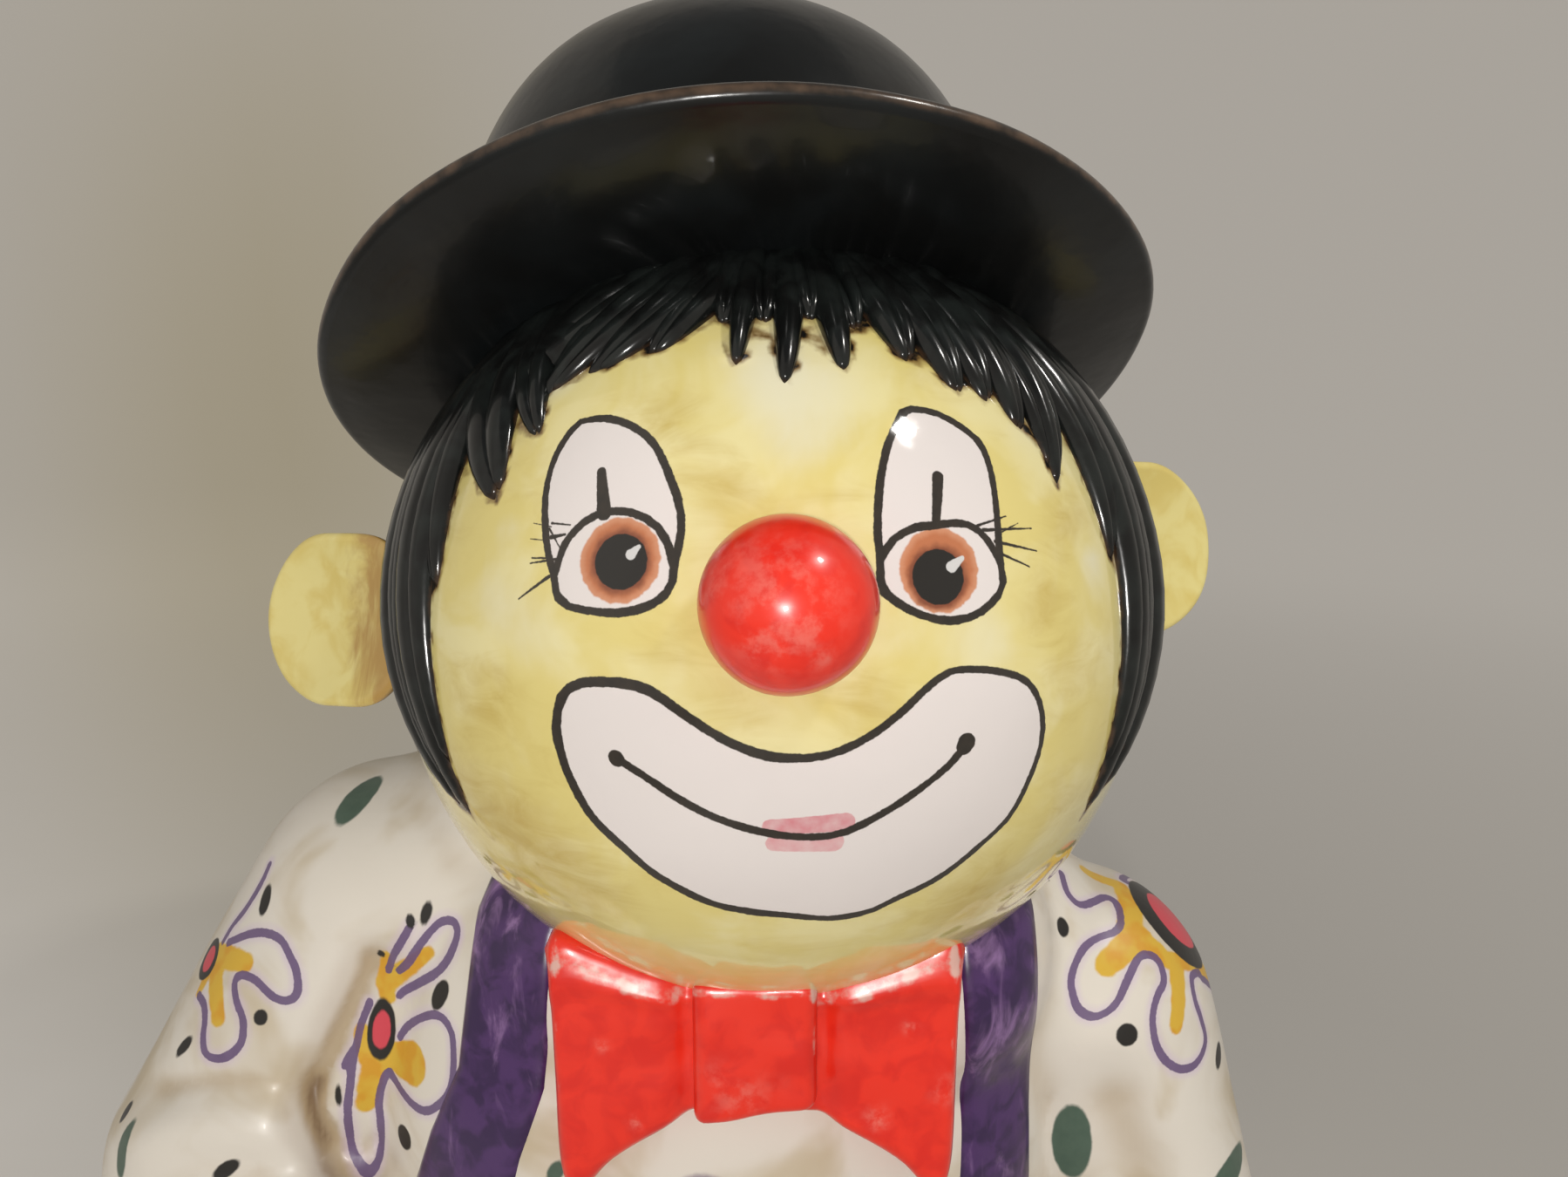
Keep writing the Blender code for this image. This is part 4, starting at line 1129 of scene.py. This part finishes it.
def on_shirt(x, y):
    """Where the sight line through a pixel meets the shirt, the way out there, and the size of a
    pixel there in millimetres; beside the shirt, the nearest point on it."""
    ahead = sight(x, y)
    place, outward, _, depth = shirt_tree.ray_cast(CAMERA_PLACE, ahead)
    if place is None:
        guess = CAMERA_PLACE + ahead * 1.45 * (HEAD_CENTRE - CAMERA_PLACE).length
        place, outward, _, _ = shirt_tree.find_nearest(guess)
        depth = (place - CAMERA_PLACE).length
    return place, outward, depth / MM / FOCAL_PIXELS


def laid_out(places, centre, outward):
    """Places near a point of the shirt, unrolled round it, in millimetres."""
    across = outward.cross(Vector((0.0, 0.0, 1.0))).normalized()
    upward = across.cross(outward)
    away = places - np.array(centre)
    plane = np.stack([away @ np.array(across), away @ np.array(upward)], axis=1)
    lengths = np.linalg.norm(plane, axis=1).clip(1e-9)
    return plane * (np.linalg.norm(away, axis=1) / lengths)[:, None] / MM


def from_daub(spots, start, end, start_radius, end_radius):
    """How far each spot is outside a round-ended daub of paint."""
    run = end - start
    share = np.clip((spots - start) @ run / max(run @ run, 1e-9), 0.0, 1.0)
    gap = np.linalg.norm(spots - start - share[:, None] * run, axis=1)
    return gap - start_radius - (end_radius - start_radius) * share


def from_oval(spots, start, end, half_width):
    """How far each spot is outside an oval of paint with these tips."""
    middle = 0.5 * (start + end)
    half_length = max(0.5 * np.linalg.norm(end - start), half_width)
    along = (end - start) / max(np.linalg.norm(end - start), 1e-9)
    away = spots - middle
    across = away @ np.array((-along[1], along[0]))
    return (np.hypot(away @ along / half_length, across / half_width) - 1.0) * half_width


EYE_HEART = 0.62
FLOWER_REACH = 27.0 * MM
UNPAINTED = 20.0
PAINT_EDGE = 0.9
FINE_EDGE = 0.5 * MM
PETAL = ((-36, 4.4), (-20, 6.6), (-9, 8.6), (0, 9.2), (9, 8.6), (20, 6.6))
KINDS = ("outline", "streak", "eye_rim", "eye_heart", "dot", "leaf", "grey_leaf")
painted = {}


def daub(kind, rows, distances):
    """Adds one daub to a kind of paint."""
    painted[kind][rows] = np.minimum(painted[kind][rows], distances)


def near_flower(centre, outward):
    """The shirt's vertices round a flower and their places on the unrolled shirt."""
    rows = np.where((gaps_to(verts, centre) < FLOWER_REACH)
                    & (normals @ np.array(outward) > -0.45))[0]
    return rows, laid_out(verts[rows], centre, outward)


def on_shirt_round(pixels, centre, outward):
    """Pixels of the photograph as places on the unrolled shirt."""
    return laid_out(np.array([on_shirt(*pixel)[0] for pixel in pixels]), centre, outward)


def paint_flower(spots, rows, centre, outward, grain, outlines, streaks):
    """Outlines and yellow marks of one flower."""
    for line in outlines:
        traced = smooth_line(on_shirt_round(line, centre, outward), False, 4)
        daub("outline", rows, from_line(spots, traced))
    for start, end, start_radius, end_radius in streaks:
        ends = on_shirt_round((start, end), centre, outward)
        daub("streak", rows, from_daub(spots, *ends, start_radius * grain, end_radius * grain))


def plain_flower(spots, rows, size, start):
    """A round flower of five petals, its first petal at this angle, with their yellow marks."""
    ring = []
    for petal in range(5):
        turn = math.radians(72.0 * petal + start)
        for shift, radius in PETAL:
            angle = turn + math.radians(shift)
            ring.append((size * radius * math.cos(angle), size * radius * math.sin(angle)))
        tip = size * np.array((math.cos(turn), math.sin(turn)))
        daub("streak", rows, from_daub(spots, tip * 2.5, tip * 6.6, 1.9, 1.0))
    daub("outline", rows, np.abs(offsets(spots, smooth_line(ring, True, 4), True)[0]))


def on_back(azimuth, height):
    """A point of the shirt's hidden side and the way out there."""
    middle = HEAD_CENTRE + CHEST_CENTRE
    away = on_ball(azimuth, 0.0)
    start = Vector((middle.x, middle.y, height * HEAD_RADIUS)) + away * 4.0 * HEAD_RADIUS
    place, outward, _, _ = shirt_tree.ray_cast(start, -away)
    return place, outward


def paint_shirt():
    """All that is painted on the shirt."""
    for middle, rim, outlines, streaks, size in FLOWERS:
        centre, outward, grain = on_shirt(*middle)
        rows, spots = near_flower(centre, outward)
        away = verts[rows] - np.array(CAMERA_PLACE)
        seen = (normals[rows] * away).sum(axis=1) < 0.08 * np.linalg.norm(away, axis=1)
        paint_flower(spots[seen], rows[seen], centre, outward, grain, outlines, streaks)
        first, second, side = on_shirt_round(rim, centre, outward)
        heart = 0.5 * (first + second)
        along = (second - first) / np.linalg.norm(second - first)
        half_width = abs((side - heart)[0] * along[1] - (side - heart)[1] * along[0])
        for kind, share in (("eye_rim", 1.0), ("eye_heart", EYE_HEART)):
            tips = heart + share * (first - heart), heart + share * (second - heart)
            daub(kind, rows, from_oval(spots, *tips, share * half_width))
        if size:
            plain_flower(spots[~seen] - heart, rows[~seen], size, 20.0)
    for kind, ovals in (("dot", DOTS), ("leaf", LEAVES), ("grey_leaf", GREY_LEAVES)):
        for start, end, half_width in ovals:
            centre, outward, grain = on_shirt(0.5 * (start[0] + end[0]), 0.5 * (start[1] + end[1]))
            rows, spots = near_flower(centre, outward)
            tips = on_shirt_round((start, end), centre, outward)
            daub(kind, rows, from_oval(spots, *tips, half_width * grain))
    for number, (azimuth, height) in enumerate(BACK_FLOWERS):
        centre, outward = on_back(azimuth, height)
        rows, spots = near_flower(centre, outward)
        plain_flower(spots, rows, 1.0, 25.0 * number)
        for kind, radius in (("eye_rim", 2.9), ("eye_heart", 2.0)):
            daub(kind, rows, from_daub(spots, np.zeros(2), np.zeros(2), radius, radius))
    daubs = (("dot", BACK_DOTS, 0.8, 2.6), ("leaf", BACK_LEAVES, 1.8, 7.0))
    for kind, places, half_width, run in daubs:
        for number, (azimuth, height) in enumerate(places):
            centre, outward = on_back(azimuth, height)
            rows, spots = near_flower(centre, outward)
            turn = 1.3 * number
            tip = 0.5 * np.array((run * math.cos(turn), run * math.sin(turn)))
            daub(kind, rows, from_oval(spots, -tip, tip, half_width))


# The mesh is made finer under the paint, so that the lines come out clean
for _ in range(2):
    verts, normals = places_and_normals(form)
    painted = {name: np.full(len(verts), UNPAINTED) for name in KINDS}
    paint_shirt()
    nearest = np.minimum.reduce([np.abs(painted[name]) for name in KINDS])
    form.verts.ensure_lookup_table()
    form.edges.ensure_lookup_table()
    fine = [edge for edge in form.edges if edge.calc_length() > FINE_EDGE
            and min(nearest[vert.index] for vert in edge.verts) < PAINT_EDGE]
    bmesh.ops.subdivide_edges(form, edges=fine, cuts=1, use_grid_fill=True)
    form.normal_update()

shirt = casting(form, "shirt", cream)
verts = places_of(shirt.data)
normals = normals_of(shirt.data)
painted = {name: np.full(len(verts), UNPAINTED) for name in KINDS}
paint_shirt()
for name, values in painted.items():
    note_on(shirt.data, name, values)
# How deep each place lies in a hollow or fold, for the pooled glaze and the painted shade
note_on(shirt.data, "hollow",
        np.clip(hollowness(shirt.data, 24), -0.3, 0.25) + fold_depths(verts, normals)[1])

# The braces. Two flat straps of clay laid over the shoulders, a little proud of the shirt, in
# purple glaze brushed on in streaks, thin and lavender where the brush ran dry.
BRACE_RELIEF = 0.8 * MM
BRACE_ROOT = 0.8 * MM
TORSO_GRID = 1.2 * MM
TORSO_SMOOTHING = 30
BRACE_ROWS = 150
BRACE_COLUMNS = 14
BRACES = (
    ("right_hand_brace", ((-0.40, -0.42, -0.66), (-0.74, -0.55, -0.80), (-1.13, -0.58, -0.84),
                          (-1.33, -0.65, -0.93), (-1.95, -0.80, -1.14))),
    ("left_hand_brace", ((-0.40, 0.40, 0.64), (-0.74, 0.47, 0.71), (-1.13, 0.50, 0.72),
                         (-1.33, 0.50, 0.72), (-1.95, 0.50, 0.74))),
)
BRACE_START = HEAD_CENTRE + Vector((0.0, 0.20, -1.25)) * HEAD_RADIUS
PURPLE = (74, 46, 98)
PURPLE_DARK = (52, 32, 74)
LAVENDER = (140, 108, 158)

torso = soft_body("torso", LIMBS, TORSO_GRID, TORSO_SMOOTHING)
torso_tree = BVHTree.FromBMesh(torso)
torso.free()

violet, tree, shader, place = glazed("purple_glaze", roughness=0.26, ripple=0.014, coat=0.1)
brush, colour = brushed(tree, place, (1.0, 1.0, 0.35), 0.34, 0.38, 0.62, PURPLE, PURPLE_DARK)
dry = times(tree, brush["Streaks"], scaled(tree, speckle(tree, place, 0.10, 2.0), 1.3, 0.3))
colour = layer(tree, dry, 0.48, 0.80, colour, LAVENDER)
tree.links.new(colour, shader.inputs["Base Color"])

for name, edges in BRACES:
    heights = [HEAD_CENTRE.z + height * HEAD_RADIUS for height, _, _ in reversed(edges)]
    insides = [inside * HEAD_RADIUS for _, inside, _ in reversed(edges)]
    outsides = [outside * HEAD_RADIUS for _, _, outside in reversed(edges)]
    form = bmesh.new()
    bmesh.ops.create_grid(form, x_segments=BRACE_ROWS, y_segments=BRACE_COLUMNS, size=1.0)
    inward = {}
    for vert in form.verts:
        turn = math.radians(-52.0 + 142.0 * (vert.co.x + 1.0))
        ahead = Vector((0.0, -math.cos(turn), math.sin(turn)))
        share = 0.5 * (vert.co.y + 1.0)
        level = HEAD_CENTRE.z - HEAD_RADIUS
        for _ in range(6):
            inside = np.interp(level, heights, insides)
            outside = np.interp(level, heights, outsides)
            start = BRACE_START + Vector(((1.0 - share) * inside + share * outside, 0.0, 0.0))
            place, outward, _, _ = torso_tree.ray_cast(start, ahead)
            level = place.z
        crown = math.sqrt(max(0.0, 1.0 - abs(vert.co.y) ** 7))
        inward[vert] = place - outward * BRACE_ROOT
        vert.co = place + outward * (BRACE_RELIEF * crown - 0.1 * MM)
    grown = bmesh.ops.extrude_face_region(form, geom=form.faces[:], use_keep_orig=True)
    starts = {tuple(vert.co): depth for vert, depth in inward.items()}
    for vert in of_kind(grown["geom"], bmesh.types.BMVert):
        vert.co = starts[tuple(vert.co)]
    cut_flat(form)
    casting(form, name, violet)

# The bow tie. Two flat wings of clay and a band wrapped round their middle, in the nose's red
# glaze, worn back to the white body along the upper edges.
BOW_CENTRE = HEAD_CENTRE + Vector((-0.04, -0.52, 0.0)) * HEAD_RADIUS
BOW_THICKNESS = 7.5 * MM
KNOT_PROUD = 1.6 * MM
KNOT_HALF_WIDTH = 0.15 * HEAD_RADIUS
WING_TOP = ((0.0, -0.75), (0.12, -0.75), (0.24, -0.73), (0.37, -0.68), (0.45, -0.645), (0.49, -0.65),
            (0.51, -0.685))
WING_SIDE = ((0.51, -0.685), (0.50, -0.80), (0.495, -1.02), (0.49, -1.24), (0.468, -1.35))
WING_BOTTOM = ((0.0, -1.09), (0.13, -1.11), (0.26, -1.18), (0.36, -1.25), (0.43, -1.33), (0.468, -1.35))


def along_line(line, share):
    """The point at this share of the way along a line."""
    steps = np.linalg.norm(np.diff(line, axis=0), axis=1)
    run = np.concatenate([[0.0], np.cumsum(steps)])
    at = share * run[-1]
    return np.array([np.interp(at, run, line[:, 0]), np.interp(at, run, line[:, 1])])


BOW_SCUFFS = (((823, 1222), 16), ((894, 1229), 12), ((850, 1248), 26), ((1006, 1283), 12),
              ((1087, 1250), 14), ((730, 1287), 8), ((690, 1200), 7), ((1045, 1180), 8))


def scuffed_at(places, scuffs):
    """How worn each place on the bow is, round scuffs at these pixels with these radii."""
    worn_here = np.zeros(len(places))
    face_y = BOW_CENTRE.y - 0.5 * BOW_THICKNESS
    for (x, y), radius in scuffs:
        ahead = sight(x, y)
        depth = (face_y - CAMERA_PLACE.y) / ahead.y
        reach = radius * depth / FOCAL_PIXELS
        worn_here += bell(gaps_to(places, CAMERA_PLACE + ahead * depth) / reach)
    return np.clip(worn_here, 0.0, 1.0)


form = bmesh.new()
top_line = smooth_line(WING_TOP, False)
side_line = smooth_line(WING_SIDE, False)
bottom_line = smooth_line(WING_BOTTOM, False)
corner_top = top_line[-1]
corner_bottom = bottom_line[-1]
for side in (-1.0, 1.0):
    made = bmesh.ops.create_grid(form, x_segments=64, y_segments=44, size=1.0)["verts"]
    for vert in made:
        u = 0.5 * (vert.co.x + 1.0)
        v = 0.5 * (vert.co.y + 1.0)
        straight = corner_bottom * (1.0 - v) + corner_top * v
        bulge = along_line(side_line, 1.0 - v) - straight
        spot = along_line(bottom_line, u) * (1.0 - v) + along_line(top_line, u) * v + bulge * u ** 3
        near_edge = min(1.0, (1.0 - u) * 14.0) * min(1.0, v * 11.0) * min(1.0, (1.0 - v) * 9.0)
        round_off = math.sqrt(max(0.0, 1.0 - (1.0 - min(1.0, near_edge)) ** 2))
        pinch = 0.9 * MM * bell((spot[0] - 0.165) / 0.035)
        folds = 0.35 * MM * math.exp(-spot[0] * 5.0) * math.sin(14.0 * v + 2.0 * side)
        lip = 0.45 * MM * bell(((1.0 - v) - 0.16) / 0.05)
        depth = 0.5 * BOW_THICKNESS - 1.5 * MM * (1.0 - round_off) - pinch + folds + lip
        across, height = side * spot[0] * HEAD_RADIUS, spot[1] * HEAD_RADIUS
        vert.co = BOW_CENTRE + Vector((across, -depth, height))
    faces = list({face_ for vert in made for face_ in vert.link_faces})
    grown = bmesh.ops.extrude_face_region(form, geom=faces, use_keep_orig=True)
    for vert in of_kind(grown["geom"], bmesh.types.BMVert):
        vert.co.y = BOW_CENTRE.y + 0.5 * BOW_THICKNESS
bmesh.ops.recalc_face_normals(form, faces=form.faces[:])
wings = casting(form, "bow_tie", red)
verts = places_of(wings.data)
edge_height = (verts[:, 2] - HEAD_CENTRE.z) / HEAD_RADIUS
reach = np.abs(verts[:, 0] - BOW_CENTRE.x) / HEAD_RADIUS
crest = np.interp(reach, top_line[:, 0], top_line[:, 1])
front = verts[:, 1] < BOW_CENTRE.y - 0.25 * BOW_THICKNESS
upper_rim = bell(((crest - edge_height) - 0.055) / 0.035)
note_on(wings.data, "thin", front * (upper_rim + bell((reach - 0.48) / 0.012) * 0.7))
note_on(wings.data, "wear_and_sheen", scuffed_at(verts, BOW_SCUFFS))

KNOT_ROUNDING = 1.3 * MM
KNOT_TOP = -0.74 * HEAD_RADIUS
KNOT_BOTTOM = -1.12 * HEAD_RADIUS
form = bmesh.new()
bmesh.ops.create_cube(form, size=1.0)
bmesh.ops.subdivide_edges(form, edges=form.edges[:], cuts=24, use_grid_fill=True)
tall = KNOT_TOP - KNOT_BOTTOM
deep = BOW_THICKNESS + 2.0 * KNOT_PROUD
knot_centre = BOW_CENTRE + Vector((0.0, 0.0, 0.5 * (KNOT_TOP + KNOT_BOTTOM)))
half_size = Vector((KNOT_HALF_WIDTH, 0.5 * deep, 0.5 * tall))
for vert in form.verts:
    spot = 2.0 * vert.co * half_size
    core = Vector([max(-h + KNOT_ROUNDING, min(h - KNOT_ROUNDING, c)) for h, c in zip(half_size, spot)])
    out = spot - core
    if out.length > 1e-9:
        spot = core + out.normalized() * min(KNOT_ROUNDING, out.length)
    dent = noise.noise(spot / (4.5 * MM) + Vector((3.0, 1.0, 0.0))) * 0.35 * MM
    spot.y -= dent if spot.y < 0.0 else 0.0
    spot.z += 0.05 * HEAD_RADIUS * (0.5 - spot.z / tall) * (0.5 + 0.5 * spot.x / half_size.x)
    vert.co = knot_centre + spot
bmesh.ops.recalc_face_normals(form, faces=form.faces[:])
knot = casting(form, "bow_tie_knot", red)
verts = places_of(knot.data)
high = (verts[:, 2] - knot_centre.z) / (0.5 * tall)
aside = (verts[:, 0] - knot_centre.x) / KNOT_HALF_WIDTH
note_on(knot.data, "wear_and_sheen", scuffed_at(verts, BOW_SCUFFS))
note_on(knot.data, "thin", bell((high - 0.86) / 0.1) + 0.8 * bell((aside - 0.95) / 0.06) * (high > 0.0))

# The stage. A pale grey floor that curves up all round into a wall. It glows as painted light: dim
# on the floor in front of the bust, brighter up the wall and on the front wall to the left, with a
# painted pool of light low on the left of the view and a warm painted shadow to the left of the bust.
STAGE_FLAT = 0.42
STAGE_BEND = 0.34
STAGE_HEIGHT = 1.3
STAGE_GREY = (140, 137, 132)
STAGE_GLOW = (188, 183, 176)
STAGE_SHADOW_WARM = (196, 183, 150)
NO_GLOW = (0, 0, 0)
outline = [(STAGE_FLAT * i / 20, 0.0) for i in range(21)]
for i in range(1, 17):
    turn = 0.5 * math.pi * i / 16
    outline.append((STAGE_FLAT + STAGE_BEND * math.sin(turn), STAGE_BEND * (1.0 - math.cos(turn))))
outline.append((STAGE_FLAT + STAGE_BEND, STAGE_HEIGHT))
form = turned([(radius, height + CUT_HEIGHT) for radius, height in outline], 96)
mesh = bpy.data.meshes.new("stage")
form.to_mesh(mesh)
form.free()
mesh.shade_smooth()
board = bpy.data.materials.new("stage_grey")
board.use_nodes = True
tree = board.node_tree
shader = tree.nodes["Principled BSDF"]
shader.inputs["Base Color"].default_value = paint(STAGE_GREY)
shader.inputs["Roughness"].default_value = 0.9
shader.inputs["Emission Strength"].default_value = 1.0
# Painted light: the stage glows, warmer where its painted shadow lies
tone = over(tree, noted(tree, "shade"), STAGE_GLOW, STAGE_SHADOW_WARM)
tree.links.new(over(tree, noted(tree, "glow"), NO_GLOW, tone), shader.inputs["Emission Color"])
mesh.materials.append(board)
set_out("stage", mesh)
verts = places_of(mesh)
out = np.linalg.norm(verts[:, :2], axis=1)
behind = np.clip((verts[:, 1] + 0.25) / 0.25, 0.0, 1.0)
pixels, _, depth = in_photo(verts)
across, down = pixels.T
# A painted shadow left of the bust and a painted pool of light low on the left, as the camera sees them
shade = bell((across - 330.0) / 260.0) * bell((down - 480.0) / 520.0) * (verts[:, 1] > 0.0)
wall = np.clip((out - 0.1) / 0.4, 0.0, 1.0)
leftward = np.clip(-verts[:, 0] / 0.6, 0.0, 1.0)
lit = bell((across + 60.0) / 480.0) * np.clip((down - 560.0) / 700.0, 0.0, 1.0) * (depth > 20.0 * MM)
glow = (0.27 + 0.26 * wall) * (1.0 - 0.78 * (1.0 - behind) * (1.0 - wall)) * (1.0 - 0.30 * shade)
glow += (1.0 - behind) * wall * (0.15 + 0.35 * leftward) + 0.36 * lit
note_on(mesh, "shade", shade)
note_on(mesh, "glow", glow)

# The light. A small bright window high on the right, and a dim lamp near the camera.
for name, place, size, power, tint in (
        ("window", (0.26, -0.11, 0.48), 0.04, 0.72, (1.0, 0.97, 0.92)),
        ("near_lamp", (-0.01, -0.30, 0.12), 0.02, 0.48, (1.0, 0.98, 0.95))):
    lamp = bpy.data.lights.new(name, "AREA")
    lamp.size = size
    lamp.energy = power
    lamp.color = tint
    made = set_out(name, lamp)
    made.location = place
    made.rotation_euler = (HEAD_CENTRE - Vector(place)).to_track_quat("-Z", "Y").to_euler()
world = bpy.data.worlds.new("studio")
world.use_nodes = True
world.node_tree.nodes["Background"].inputs["Color"].default_value = (0.5, 0.5, 0.49, 1.0)
world.node_tree.nodes["Background"].inputs["Strength"].default_value = 0.34
bpy.context.scene.world = world
bpy.context.scene.view_settings.view_transform = "Standard"
